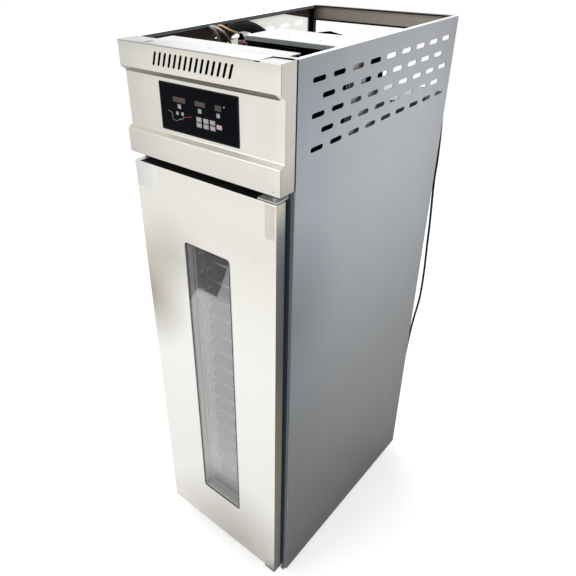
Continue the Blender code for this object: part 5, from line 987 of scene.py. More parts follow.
def case_trim():
    """Seams beside the fascia, strips round the open top, the sides' inner sheets and a corner gusset, with
    painted shade and a painted reflection on several of them.
    """
    for hand, side in (("left", -1), ("right", 1)):
        near, far = sorted(side * x for x in SEAM_ACROSS)
        low, high = (near, FASCIA_BACK + 0.0002, SEAM_BOTTOM), (far, PANEL_FRONT - 0.0002, TOP - 0.001)
        keep(block(low, high, 0.0003, 1), f"{hand}_seam_strip", RUBBER_AND_SHADE, "cabinet")
    joint = [(FLANGE_END, FASCIA_BACK + 0.0001), (FLANGE_END, -0.4192), (OPEN_HALF, PANEL_FRONT)]
    joint += [(OPEN_HALF, RAIL_FRONT - 0.0001), (-OPEN_HALF, RAIL_FRONT - 0.0001)]
    joint = plate([*joint, (-OPEN_HALF, FASCIA_BACK + 0.0001)], [], "Z", TOP - 0.0012, TOP - 0.0001)
    keep(joint, "flange_joint", RAIL_SHEET, "cabinet")
    end = FLANGE_END + 0.0002
    gap = [(end, -0.4202), (OPEN_HALF, -0.4145), (OPEN_HALF, -0.4137), (end, -0.4194)]
    keep(plate(gap, [], "Z", TOP - 0.0050, TOP - 0.0003), "flange_gap", RUBBER_AND_SHADE, "cabinet")
    # A black block of painted shade under the rail's notched end.
    black_block = block((0.2550, -0.3970, TOP - 0.0120), (OPEN_HALF, -0.3525, TOP - 0.0040), 0.0004, 1)
    keep(black_block, "rail_end_shade_block", BLACK_PARTS_AND_SHADE, "cabinet")
    # A painted dark reflection on the left side's top lip, with a line of painted shade under it.
    (left, right), (front, back) = EDGE_ACROSS, EDGE_LENGTH
    strip = block((left, front, TOP - 0.0102), (right, back, TOP - 0.0006), 0.0004, 2)
    keep(strip, "left_edge_strip", LIP_REFLECTION, "cabinet")
    strip = block((left, front, TOP - 0.0124), (right, back, TOP - 0.0104), 0.0003, 1)
    keep(strip, "left_edge_shade_line", RUBBER_AND_SHADE, "cabinet")
    # Black strips of painted shade on the back rail's top edge and lower lip.
    lips, (front, back) = bmesh.new(), REAR_EDGE_LENGTH
    for low, high in REAR_EDGE_LEVELS:
        join(lips, block((-OPEN_HALF, front, low), (OPEN_HALF, back, high), 0.0004, 2))
    keep(lips, "rear_edge_shade_strips", SHADE_BLACK, "cabinet")
    # Painted light on the left inner sheet, painted shade at the edges of the right one's slots.
    face = ring(PANEL_FRONT + 0.004, DECK + 0.004, 0.440, TOP - 0.013)
    for hand, side, finish in (("left", -1, INNER_SIDE), ("right", 1, DARK_SHEET)):
        inner = plate(face, slot_rings(side), "X", *sorted(side * x for x in LINED_AT))
        keep(inner, f"{hand}_inner_sheet", finish, "cabinet")
    keep(plate(GUSSET, [], "X", *GUSSET_ACROSS), "corner_gusset", GUSSET_BROWN, "cabinet")
    # A line of painted shadow along the gusset's lower edge.
    keep(tube(GUSSET_EDGE, 0.0009, resolution=1), "gusset_shadow_line", RUBBER_AND_SHADE, "cabinet")


# ---------------------------------------------------------------- fascia

FASCIA_BOTTOM = 1.7206
FASCIA_BACK = -0.4203
FLANGE_DROP = 0.0027
RAIL_FRONT = -0.411
FASCIA_SHELF = -0.4303
RECESS = -0.4625
RECESS_BOTTOM = 1.805
RECESS_TOP = 1.9645
VENT_COUNT = 15
VENT_PITCH = 0.0201
VENT_CENTRE = -0.0015
VENT_LEVEL = 2.0141
VENT_SIZE = (0.0092, 0.0382)
VENT_LEAN = 0.0129 / 0.0382
DISPLAY = (-0.1526, 1.816, 0.1467, 1.9516)
DISPLAY_FACE = -0.4640
OPENING_INSET = 0.012
THROUGH = 0.003
FLANGE_HOLES = ((-0.188, -0.4543, 0.0085, 0.030), (0.0214, -0.4290, 0.0035, 0.012))
# Black blocks of painted shade under the flange's holes and behind the front notch.
FLANGE_HOLE_SHADES = (
    ((-0.194, -0.4704, TOP - 0.0028), (-0.182, -0.4382, TOP - 0.0014)),
    ((0.0184, -0.4362, TOP - 0.0028), (0.0244, -0.4220, TOP - 0.0014)),
    ((0.2120, FRONT + 0.0012, TOP - 0.0046), (0.2330, FRONT + 0.0030, TOP - 0.0014)),
)
FASCIA_RIVETS = ((-0.2728, FRONT + 0.0002, 1.7320), (0.2728, FRONT + 0.0002, 1.7320))
NUMBER_WINDOWS = (
    (-0.0982, -0.0497, 1.9021, 1.9162, 4),
    (-0.0116, 0.0269, 1.9036, 1.9166, 3),
    (0.0625, 0.0853, 1.9028, 1.9175, 2),
)
DIGIT = (0.0048, 0.0023, 0.0005)
SMALL_KEYS = ((-0.0741, 1.8910), (0.0055, 1.8911), (0.0741, 1.8903))
KEY_COLUMNS = (0.0004, 0.0268, 0.0519)
KEY_ROWS = (1.8676, 1.8522)
ROUND_KEYS = ((-0.0842, 1.8709), (-0.0634, 1.8717))
ROSY_RING = (0.0667, 1.8537, 0.0857, 1.8659)
LAMP_LENS = [(0, 0), (0.0021, 0), (0.0021, 0.0002), (0.0012, 0.0003), (0, 0.0003)]
LAMP_PLACE = (0.0961, DISPLAY_FACE, 1.9165)
COURSE_LINES = (
    ("white", KEY_PALE, [(-0.1207, 1.8732), (-0.1073, 1.8701), (-0.1023, 1.8504)]),
    ("teal", LINE_TEAL, [(-0.1023, 1.8504), (-0.0876, 1.8487), (-0.0766, 1.8558)]),
    ("grey", KEY_PALE, [(-0.0766, 1.8558), (-0.0693, 1.8549), (-0.0571, 1.8635)]),
    ("red", LINE_RED, [(-0.0571, 1.8635), (-0.0262, 1.8698)]),
)


def drawn_across(line_points, left, right):
    """A closed outline in Y and Z, drawn out across the cabinet."""
    bm = bmesh.new()
    face = bm.faces.new([bm.verts.new((left, y, z)) for y, z in line_points])
    grown = bmesh.ops.extrude_face_region(bm, geom=[face])["geom"]
    moved = [item for item in grown if isinstance(item, bmesh.types.BMVert)]
    bmesh.ops.translate(bm, vec=(right - left, 0, 0), verts=moved)
    bmesh.ops.recalc_face_normals(bm, faces=bm.faces)
    return bm


def fascia_line(front, top, bottom, round_off, recess):
    """The pressed front's line from bottom to top, with its bends rounded."""
    corners = [(FASCIA_BACK, bottom), (front, bottom), (front, RECESS_BOTTOM - 0.010)]
    corners += [(recess, RECESS_BOTTOM), (recess, RECESS_TOP), (front, RECESS_TOP + 0.0135)]
    corners += [(front, top), (FASCIA_BACK, top)]
    return [tuple(point) for point in eased(corners, round_off)]


def vent_rings():
    """The outlines of the fascia's leaning vents."""
    first = VENT_CENTRE - VENT_PITCH * (VENT_COUNT - 1) / 2
    return [round_slot(first + VENT_PITCH * n, VENT_LEVEL, *VENT_SIZE, VENT_LEAN) for n in range(VENT_COUNT)]


def pressed_fascia():
    """The front cover of the machine compartment: rounded bends, a recess, vents and a top flange."""
    bm = drawn_across(fascia_line(FRONT, TOP, FASCIA_BOTTOM, 0.0022, RECESS), -HALF, HALF)
    room = fascia_line(FRONT + SHEET, TOP - SHEET, FASCIA_BOTTOM + SHEET, 0.0016, RECESS + SHEET)
    back = FASCIA_BACK + 0.004
    room = [(y if y < FASCIA_BACK - 1e-6 else back, z) for y, z in room]
    bm = cut(bm, drawn_across(room, -HALF + SHEET, HALF - SHEET))
    low = (-HALF + SHEET, FASCIA_SHELF, FASCIA_BOTTOM - 0.004)
    bm = cut(bm, block(low, (HALF - SHEET, back, FASCIA_BOTTOM + 0.004)))
    holes = bmesh.new()
    for hole in vent_rings():
        join(holes, plate(hole, [], "Y", FRONT - THROUGH, FRONT + THROUGH))
    left, bottom, right, top = DISPLAY
    inset = OPENING_INSET
    opening = ring(left + inset, bottom + inset, right - inset, top - inset, 0.003)
    join(holes, plate(opening, [], "Y", RECESS - THROUGH, RECESS + 0.004))
    for hole in FLANGE_HOLES:
        join(holes, plate(round_slot(*hole), [], "Z", TOP - THROUGH, TOP + THROUGH))
    corner_end = FLANGE_END + 0.0001
    corner = ring(corner_end, FRONT + 0.0035, HALF - 0.0012, 0)
    join(holes, plate(corner, [], "Z", TOP - THROUGH, TOP + THROUGH))
    notch = round_slot(corner_end, TOP - 0.0022, 0.018, 0.0028)
    join(holes, plate(notch, [], "Y", FRONT - THROUGH, FRONT + THROUGH))
    bm = cut(bm, holes)
    keep(bm, "pressed_fascia", FASCIA_STEEL, "cabinet", ["fascia"])
    low = (corner_end + 0.0002, FRONT + 0.0036, TOP - 0.0011)
    corner = block(low, (HALF - 0.0013, FASCIA_BACK, TOP - 0.0001))
    sunk = [vert for vert in corner.verts if vert.co.y > FRONT + 0.02]
    bmesh.ops.translate(corner, vec=(0, 0, -FLANGE_DROP), verts=sunk)
    keep(corner, "flange_corner", RAIL_SHEET, "cabinet")
    # Painted shade seen through the flange's holes and the notch.
    hole_shades = join(bmesh.new(), *(block(low, high, 0.0003, 1) for low, high in FLANGE_HOLE_SHADES))
    keep(hole_shades, "flange_hole_shades", BLACK_PARTS_AND_SHADE, "cabinet")
    # A black sheet of painted shade behind the vents.
    mesh_low = (-0.160, FRONT + SHEET + 0.0004, VENT_LEVEL - 0.0225)
    mesh_high = (0.160, FRONT + SHEET + 0.0016, VENT_LEVEL + 0.0225)
    keep(block(mesh_low, mesh_high, 0.0004, 1), "vent_shade_backing", BLACK_PARTS_AND_SHADE, "cabinet")
    heads = screws(FASCIA_RIVETS, (0, -1, 0), 0.0036, 0.0002)
    keep(heads, "fascia_rivets", RIVET, "cabinet", smooth=True)


def display_face():
    """The glossy overlay's parts: number windows, keys, lamps and the printed course of the process."""
    face, proud, sunk = DISPLAY_FACE, DISPLAY_FACE - 0.0003, DISPLAY_FACE + 0.0001
    left, bottom, right, top = DISPLAY
    border = frame_run(
        square_bead(0.0030, 0.0036, face - 0.00015, sunk),
        lambda inset: ring(left + inset, bottom + inset, right - inset, top - inset, 0.0050 - inset / 2),
    )
    keep(border, "display_border", DISPLAY_LINE, "cabinet")
    windows, digits = bmesh.new(), bmesh.new()
    tall, wide, bar = DIGIT
    for x0, x1, z0, z1, count in NUMBER_WINDOWS:
        join(windows, plate(ring(x0, z0, x1, z1, 0.001, 3), [], "Y", face - 0.0002, sunk))
        step = (x1 - x0) / count
        for n in range(count):
            middle = x0 + step * (n + 0.5)
            for level in (-tall, 0, tall):
                z = (z0 + z1) / 2 + level
                low = (middle - wide + bar, face - 0.00035, z - bar)
                join(digits, block(low, (middle + wide - bar, face - 0.0001, z + bar)))
            for aside in (-wide, wide):
                for lift in (-tall / 2, tall / 2):
                    z = (z0 + z1) / 2 + lift
                    low = (middle + aside - bar, face - 0.00035, z - tall / 2 + bar)
                    join(digits, block(low, (middle + aside + bar, face - 0.0001, z + tall / 2 - bar)))
    keep(windows, "number_windows", WINDOW_BROWN, "cabinet")
    keep(digits, "unlit_digits", DIGIT_BROWN, "cabinet")

    keys, rims = bmesh.new(), bmesh.new()

    def key(x, z, wide, tall, radius=0.0015):
        def around(inset, *corner):
            across, up = wide / 2 - inset, tall / 2 - inset
            return ring(x - across, z - up, x + across, z + up, *corner)

        join(keys, plate(around(0, radius, 3), [], "Y", proud, sunk))
        join(rims, plate(around(0.0022), [around(0.0030)], "Y", face - 0.0004, face - 0.0002))

    for x, z in SMALL_KEYS:
        key(x, z, 0.0125, 0.0115)
    for x in KEY_COLUMNS:
        for z in KEY_ROWS:
            key(x, z, 0.0190, 0.0122)
    for x, z in ROUND_KEYS:
        key(x, z, 0.0105, 0.0105, 0.0052)
    keep(keys, "light_keys", KEY_PALE, "cabinet")
    keep(rims, "key_rims", DIGIT_BROWN, "cabinet")
    rosy = plate(ring(*ROSY_RING, 0.0015, 3), [], "Y", proud, sunk)
    keep(rosy, "rosy_key", KEY_ROSE, "cabinet")
    lamp = turned(LAMP_LENS, LAMP_PLACE, (0, -1, 0), 16)
    keep(lamp, "white_lamp", KEY_PALE, "cabinet", smooth=True)

    for shade, finish, places in COURSE_LINES:
        points = [(x, face - 0.0001, z) for x, z in eased(places, 0.0015)]
        drawn = tube(points, 0.0006, resolution=1)
        keep(drawn, f"course_line_{shade}", finish, "cabinet")


# ---------------------------------------------------------------- door

DOOR_HALF = 0.284
DOOR_BOTTOM = 0.0951
DOOR_TOP = 1.696
DOOR_FACE = FRONT + 0.0003
WINDOW = (-0.087, 0.320, 0.110, 1.471)
WINDOW_CORNER = 0.015
HINGE = (0.266, -0.464)
LINING_END = -0.4215
TAPED = (0.2440, 1.5900, 0.2780, 1.6935)
LABEL_BACK = DOOR_FACE - 0.00005
DOOR_CUT = 0.004
BUSH_HOLE = 0.0063
LINING_FOLD = ((0.0027, -0.0015), (0.0036, -0.0013), (0.0036, -0.0007), (0.0027, -0.0005))
SEAL_WIDTH = 0.020
SKIN = 0.0008
SKIN_ROUNDING = 0.0020
SCREWS_ACROSS = (-0.215, 0.215)
DOOR_SCREWS = (0.20, 0.50, 0.80, 1.10, 1.40, 1.60)


def window_ring(inset):
    """The window's outline, drawn in by an inset."""
    left, bottom, right, top = WINDOW
    return ring(left + inset, bottom + inset, right - inset, top - inset, WINDOW_CORNER - inset, 8)


def door_skin():
    """The door's front sheet with folded edges, its window and the holes for the hinge bushes."""
    bm = block((-DOOR_HALF, DOOR_FACE, DOOR_BOTTOM), (DOOR_HALF, DOOR_BACK, DOOR_TOP))
    back = [face for face in bm.faces if face.normal.y > 0.9]
    bmesh.ops.delete(bm, geom=back, context="FACES_ONLY")
    folds = [edge for edge in bm.edges if not edge.is_boundary]
    bmesh.ops.bevel(
        bm, geom=folds, offset=SKIN_ROUNDING, segments=4, profile=0.5, affect="EDGES", material=-1
    )
    bmesh.ops.solidify(bm, geom=bm.faces[:], thickness=SKIN)
    bmesh.ops.recalc_face_normals(bm, faces=bm.faces)
    tools = plate(window_ring(0.0), [], "Y", FRONT - DOOR_CUT, FRONT + DOOR_CUT)
    drill = [(0, -DOOR_CUT), (BUSH_HOLE, -DOOR_CUT), (BUSH_HOLE, DOOR_CUT), (0, DOOR_CUT)]
    for z in (DOOR_BOTTOM, DOOR_TOP):
        join(tools, turned(drill, (*HINGE, z), steps=20))
    keep(cut(bm, tools), "door_skin", DOOR_STEEL, "door", ["door_outer_skin"])


def door_details():
    """Rim and beads of the window, the dark strip of painted shade on the door's top, the bare sticker and
    the tape.
    """
    back = FRONT + 0.0011
    bead = [(0.0002, FRONT + 0.0006), (0.0068, FRONT + 0.0005), (0.0068, back), (0.0002, back)]
    keep(frame_run(bead, window_ring), "outer_glazing_bead", SEAL_RUBBER, "door")
    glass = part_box("inner_glass")[0][1]
    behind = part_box("door_inner_skin")[1][1]
    rim = [(-0.0120, behind + 0.0002), (-0.0120, behind + 0.0014), (-0.0004, behind + 0.0020)]
    rim += [(0.0006, LINING_END), (0.0034, LINING_END), (0.0034, behind - 0.0030)]
    rim += [(0.0027, behind - 0.0030), (0.0027, behind + 0.0002)]
    keep(frame_run(rim, window_ring), "inner_window_rim", LINING, "door")
    back, lip = LINING_END - 0.0150, LINING_END + 0.0002
    bead = [(0.0030, back), (0.0038, back), (0.0054, lip), (0.0030, lip)]
    keep(frame_run(bead, window_ring), "inner_glazing_bead", BEAD_GREY, "door")
    bead = square_bead(0.0027, 0.0040, DOOR_FACE + 0.0062, DOOR_FACE + 0.0070)
    keep(frame_run(bead, window_ring), "spacer_bar", SEAL_RUBBER, "door")
    bead = [(inset, glass + level) for inset, level in LINING_FOLD]
    keep(frame_run(bead, window_ring), "lining_fold", SEAL_RUBBER, "door")
    bead = square_bead(0.0027, 0.0034, DOOR_FACE + 0.0074, DOOR_FACE + 0.0110)
    keep(frame_run(bead, window_ring), "bright_lining_edge", EDGE_STEEL, "door")
    # A black strip of painted shade along the door's top edge.
    low, high = (-0.258, FRONT + 0.0016, DOOR_TOP + 0.0001), (0.214, DOOR_BACK - 0.0004, DOOR_TOP + 0.0014)
    keep(block(low, high, 0.0004, 1), "door_top_shade_strip", RUBBER_AND_SHADE, "door")
    sticker = plate(ring(*STICKER, 0.001, 3), [], "Y", FRONT, LABEL_BACK)
    keep(sticker, "bare_sticker", PAPER, "door")
    tape = plate(ring(*TAPED), [], "Y", FRONT + 0.0001, LABEL_BACK)
    keep(tape, "protective_tape", TAPE, "door")


def door_back():
    """The magnetic seal with its bellows, and the screws in the door's inner sheet."""
    low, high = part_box("door_seal")

    def outline(inset):
        return ring(low[0] + inset, low[2] + inset, high[0] - inset, high[2] - inset, 0.0)

    front, back, wide = low[1], high[1], SEAL_WIDTH
    section = [(0.0, front), (0.0, front + 0.0028), (0.0022, front + 0.0040), (0.0006, front + 0.0056)]
    section += [(0.0006, back - 0.0012), (0.0020, back), (wide - 0.0030, back)]
    section += [(wide - 0.0016, back - 0.0012), (wide - 0.0016, front + 0.0056)]
    section += [(wide - 0.0040, front + 0.0040), (wide, front + 0.0028), (wide, front)]
    keep(frame_run(section, outline), "magnetic_seal", SEAL_RUBBER, "door", ["door_seal"])
    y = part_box("door_inner_skin")[1][1]
    places = [(x, y, z) for x in SCREWS_ACROSS for z in DOOR_SCREWS]
    keep(screws(places, (0, 1, 0), 0.0035, 0.0006), "door_screws", RIVET, "door", smooth=True)


def head_gap():
    """A dark strip of painted shadow on the front frame, in the gap over the door."""
    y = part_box("front_frame")[0][1]
    strip = block((-0.2900, y - 0.0008, 1.6905), (0.2150, y - 0.0001, 1.7440), 0.0003, 1)
    keep(strip, "head_gap_shade_strip", RUBBER_AND_SHADE, "cabinet")


# ---------------------------------------------------------------- machine compartment

HOOP_STEPS = 40
CONDENSER_LEFT = -0.1000
CONDENSER_LEVELS = 11
CONDENSER_ROWS = (0.012, 0.032, 0.058, 0.078)
BEND_REACH = (0.044, 0.024)
BENDS_LEFT_OUT = (2, 8)
BEND_LIFT = 0.0095
COIL_TUBE = 0.0045
FIN_PITCH = 0.0042
FIN_HALF = 0.0003 / 2
FIN_EDGE = 0.0035
SIDE_FOAM = (-0.068, 0.025)
SIDE_FACE = (-0.152, -0.069)
SHROUD_RIVETS = 4
HOOP_SHARES = [0.22 + 0.12 * n for n in range(7)]
SPOKE_SHARES = (0.20, 0.985)
COMPRESSOR_FOOT = 0.067
RECEIVER = (-0.165, -0.050)
BRAZED_RING = [(0.0032, 0), (0.0044, 0), (0.0042, 0.008), (0.0032, 0.009)]
BRAZED_PLACES = (
    ((-0.0990, -0.0650, 1.9450), (-1, 0, 0)),
    ((-0.0990, -0.0650, 1.7750), (-1, 0, 0)),
    ((-0.1560, -0.0500, 1.8880), (0, 0, 1)),
    ((-0.1740, -0.0500, 1.8880), (0, 0, 1)),
)
CUSHION = [(0.0042, 0), (0.0105, 0), (0.0095, 0.004), (0.0042, 0.0045)]
BOLT = [(0, 0.0046), (0.0068, 0.0046), (0.0068, 0.0092), (0.0034, 0.0096), (0.0034, 0.016), (0, 0.016)]
STRAP = [(0.0362, 0.070), (0.0372, 0.070), (0.0372, 0.084), (0.0362, 0.084)]
GLAND_NUT = [(0, 0), (0.0085, 0), (0.0085, 0.006), (0.0060, 0.008), (0, 0.008)]


def bounds(node):
    """A frame node's lowest and highest corners."""
    low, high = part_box(node)
    return Vector(low), Vector(high)


def condenser():
    """The condenser: thin black fins on rows of tubes, bright end sheets and copper return bends."""
    low, high = bounds("condenser_coil")
    left = CONDENSER_LEFT
    fins = bmesh.new()
    width = high.x - left - 2 * FIN_EDGE
    count = int(width / FIN_PITCH)
    front, back, bottom, top = low.y + 0.001, high.y - 0.001, low.z + 0.001, high.z - 0.001
    for n in range(count + 1):
        x = left + FIN_EDGE + n * width / count
        join(fins, block((x - FIN_HALF, front, bottom), (x + FIN_HALF, back, top)))
    keep(fins, "condenser_fins", FIN_BLACK, "cabinet", ["condenser_coil"])
    tubes, bends, ends = bmesh.new(), bmesh.new(), bmesh.new()
    rows = [low.y + row for row in CONDENSER_ROWS]
    step = (high.z - low.z) / CONDENSER_LEVELS
    for n in range(CONDENSER_LEVELS):
        z = low.z + step * (n + 0.5) + BEND_LIFT
        for y in rows:
            join(tubes, tube([(left + 0.0006, y, z), (high.x - 0.0004, y, z)], COIL_TUBE, resolution=1))
        for near, far, reach in zip(rows[::2], rows[1::2], BEND_REACH):
            if near == rows[2] and n in BENDS_LEFT_OUT:
                continue
            end, tip = left + 0.0008, left - reach
            arch = [(end, near), (tip + 0.006, near), (tip + 0.0015, near + 0.003), (tip, (near + far) / 2)]
            arch += [(tip + 0.0015, far - 0.003), (tip + 0.006, far), (end, far)]
            join(bends, tube(eased([(x, y, z) for x, y in arch], 0.002, 2), COIL_TUBE - 0.0003))
    for x in (left + 0.0004, high.x - 0.0016):
        join(ends, block((x, low.y, low.z), (x + 0.0012, high.y, high.z), 0.0002, 1))
    keep(tubes, "condenser_tubes", FIN_BLACK, "cabinet")
    keep(bends, "condenser_bends", BEND_COPPER, "cabinet", smooth=True)
    keep(ends, "condenser_end_sheets", BRIGHT_SHEET, "cabinet")


def shroud_details():
    """The shroud's shaded lip with a black strip along its lower part, a black foam pad and a lit face on its
    side, rivets, and the wire guard over the fan.
    """
    low, high = bounds("condenser_shroud")
    left, right, front, back = low.x + 0.001, high.x - 0.001, low.y - 0.0005, low.y - 0.0001
    face = block((left, front, high.z - 0.0135), (right, back, high.z - 0.0012), 0.0001, 1)
    keep(face, "shroud_lip_face", SHADED_ZINC, "cabinet")
    # A black strip along the lip's lower part.
    black_block = block((left, front, high.z - 0.0198), (right, back, high.z - 0.0137), 0.0001, 1)
    keep(black_block, "shroud_lip_black_strip", BLACK_PARTS_AND_SHADE, "cabinet")
    side, bottom, top = high.x + 0.0002, high.z - 0.110, high.z - 0.003
    pad = block((side, SIDE_FOAM[0], bottom), (high.x + 0.0014, SIDE_FOAM[1], top), 0.0003, 1)
    keep(pad, "shroud_side_foam", BLACK_PARTS_AND_SHADE, "cabinet")
    spacing = (high.x - low.x - 0.04) / (SHROUD_RIVETS - 1)
    across = [low.x + 0.02 + n * spacing for n in range(SHROUD_RIVETS)]
    places = [(x, y, high.z) for y in (low.y + 0.045, high.y - 0.030) for x in across]
    rivets = screws(places, (0, 0, 1), 0.0034, 0.0012)
    keep(rivets, "shroud_rivets", RIVET, "cabinet", smooth=True)
    ring_low, ring_high = bounds("condenser_fan_ring")
    centre = (ring_low + ring_high) / 2
    y = ring_high.y + 0.003
    guard = bmesh.new()
    reach = (ring_high.x - ring_low.x) / 2
    turns = [math.tau * k / HOOP_STEPS for k in range(HOOP_STEPS)]
    for share in HOOP_SHARES:
        radius = reach * share
        hoop = [(centre.x + radius * math.cos(a), y, centre.z + radius * math.sin(a)) for a in turns]
        join(guard, tube(hoop, 0.0011, cyclic=True, resolution=1))
    for n in range(4):
        angle = math.radians(45 + 90 * n)
        ends = [(reach * share * math.cos(angle), reach * share * math.sin(angle)) for share in SPOKE_SHARES]
        spoke = [(centre.x + x, y + 0.0018, centre.z + z) for x, z in ends]
        join(guard, tube(spoke, 0.0015, resolution=1))
    keep(guard, "condenser_fan_guard", BLACK_WIRE, "cabinet", smooth=True)
    face = block((side, SIDE_FACE[0], bottom), (high.x + 0.0012, SIDE_FACE[1], top), 0.0002, 1)
    keep(face, "shroud_side_face", LIT_SHEET, "cabinet")


LIQUID_ROUTE = [
    (-0.1740, -0.0500, 1.8876), (-0.1740, -0.0500, 1.9050), (-0.1800, -0.0495, 1.9450),
    (-0.1900, -0.0490, 1.9850), (-0.1985, -0.0510, 2.0060), (-0.2030, -0.0600, 2.0185),
    (-0.2060, -0.0740, 2.0235), (-0.2120, -0.0880, 2.0290), (-0.2250, -0.0965, 2.0365),
    (-0.2500, -0.0985, 2.0440), (-0.2660, -0.0990, 2.0400), (-0.2740, -0.1060, 2.0200),
    (-0.2740, -0.1120, 1.9600), (-0.2720, -0.1120, 1.8700), (-0.2680, -0.1000, 1.7950),
    (-0.2450, -0.0400, 1.7500), (-0.2050, 0.0150, 1.7446), (-0.1650, 0.0450, 1.7446),
    (-0.1500, 0.0650, 1.7446), (-0.1500, 0.0797, 1.7446),
]


def copper_lines():
    """The thin liquid line with its black sleeve, its valve, and the joints on the refrigerant pipes."""
    pipe = tube(smooth_points(LIQUID_ROUTE, 0.010), 0.0030)
    keep(pipe, "liquid_line", GOLD_PIPE, "cabinet", ["liquid_pipe"], smooth=True)
    sleeve = tube(LIQUID_ROUTE[4:6], 0.0052)
    keep(sleeve, "liquid_line_sleeve", BLACK_PARTS_AND_SHADE, "cabinet", smooth=True)
    valve = block((-0.2130, -0.0610, 1.9750), (-0.1950, -0.0420, 2.0065), 0.0020, 2)
    stem = [(0, 0), (0.0060, 0), (0.0060, 0.004), (0.0028, 0.005), (0.0028, 0.009), (0, 0.009)]
    join(valve, turned(stem, (-0.2060, -0.0515, 2.0065), steps=6))
    keep(valve, "service_valve", BLACK_PARTS_AND_SHADE, "cabinet")
    joints = join(bmesh.new(), *(turned(BRAZED_RING, place, axis, 14) for place, axis in BRAZED_PLACES))
    keep(joints, "brazed_joints", BRASS, "cabinet", smooth=True)


def compressor_details():
    """The compressor's mounts, welded stubs, terminal wires and the receiver's strap."""
    low, high = bounds("compressor")
    x, y = (low.x + high.x) / 2, (low.y + high.y) / 2
    mounts, bolts = bmesh.new(), bmesh.new()
    for aside in (-COMPRESSOR_FOOT, COMPRESSOR_FOOT):
        for along in (-COMPRESSOR_FOOT, COMPRESSOR_FOOT):
            place = (x + aside, y + along, DECK + 0.0206 + 0.0045)
            join(mounts, turned(CUSHION, place, steps=18))
            join(bolts, turned(BOLT, place, steps=6))
    keep(mounts, "compressor_cushions", RUBBER_AND_SHADE, "cabinet", smooth=True)
    keep(bolts, "compressor_bolts", RIVET, "cabinet")
    x, y, z = x - 0.030, y + 0.020, high.z
    stub = [(x, y, z - 0.012), (x, y, z + 0.018), (x, y + 0.014, z + 0.030)]
    keep(tube(eased(stub, 0.006, 4), 0.0032), "charging_stub", COPPER, "cabinet", smooth=True)
    wires = bmesh.new()
    tlow, thigh = bounds("terminal_cover")
    for n in range(3):
        start = Vector((thigh.x - 0.004, thigh.y - 0.014 + 0.005 * n, tlow.z + 0.010))
        route = [start, start + Vector((0.012, 0.004, -0.006)), (-0.035, -0.170 + 0.005 * n, DECK + 0.012)]
        route += [(-0.060 + 0.005 * n, -0.158, DECK + 0.008), (-0.112, -0.1575 + 0.005 * n, DECK + 0.007)]
        route += [(-0.118, -0.075 + 0.004 * n, DECK + 0.007), (-0.113 + 0.004 * n, 0.060, DECK + 0.007)]
        route += [(0.010, 0.130 + 0.005 * n, DECK + 0.007), (0.050, 0.180 + 0.006 * n, DECK + 0.030)]
        route += [(0.0605, 0.190 + 0.006 * n, DECK + 0.030)]
        join(wires, tube(smooth_points(route, 0.008), 0.0017))
    keep(wires, "compressor_wires", WIRE_GREY, "cabinet", smooth=True)
    keep(turned(STRAP, (*RECEIVER, DECK), steps=32), "receiver_strap", ZINC, "cabinet")


def control_box_details():
    """The control box's lid screws and cable glands."""
    low, high = bounds("control_box_lid")
    across, along = (low.x + 0.010, high.x - 0.010), (low.y + 0.010, high.y - 0.010)
    places = [(x, y, high.z) for x in across for y in along]
    keep(screws(places, (0, 0, 1), 0.0036, 0.0016), "box_screws", RIVET, "cabinet", smooth=True)
    nuts = bmesh.new()
    for n in range(3):
        join(nuts, turned(GLAND_NUT, (0.060, 0.192 + 0.022 * n, DECK + 0.030), (-1, 0, 0), 12))
    keep(nuts, "box_glands", PLASTIC_BLACK, "cabinet")


# ---------------------------------------------------------------- back, room and feet

SCREW_LEVELS = (0.10, 0.35, 0.60, 0.85, 1.10, 1.35, 1.60, 1.78)
BEAD_LEVELS = (0.32, 0.70, 1.08, 1.46)
BEAD_HEIGHTS = ((0.0, -0.0013), (0.003, 0.0010), (0.007, 0.0019), (0.011, 0.0010), (0.014, -0.0013))
TRAY_LEVELS = [0.1818 + 0.080 * n for n in range(17)]
RACK_FRONT = -0.313
RACK_BACK = 0.217
BEAD_ACROSS = (-0.235, 0.215)
BEAD_HALF = 0.085
BEAD_CORNER = 0.03
STRAIN_RELIEF = Vector((0.255, 0.4860, 1.765))
RUN_RADIUS = 0.0022
RUN_SETBACK = 0.006
UPRIGHT_ALONG = (-0.279, 0.165)
UPRIGHT_ACROSS = (0.2020, 0.2345)
UPRIGHT_DEPTH = 0.018
LUG_ACROSS = (0.1985, 0.2019)
FRONT_LUG_ACROSS = (0.1975, 0.2030)
DUCT_SCREWS = (0.22, 0.60, 0.98, 1.36, 1.62)
FEET_ALONG = (("front", -0.380), ("rear", 0.420))
FEET_ACROSS = (("left", -0.245), ("right", 0.245))
THREAD = [(0.0050, -0.0006), (0.0062, 0), (0.0050, 0.0006)]
THREAD_START = 0.0265
THREAD_PITCH = 0.0016
THREAD_RINGS = 9


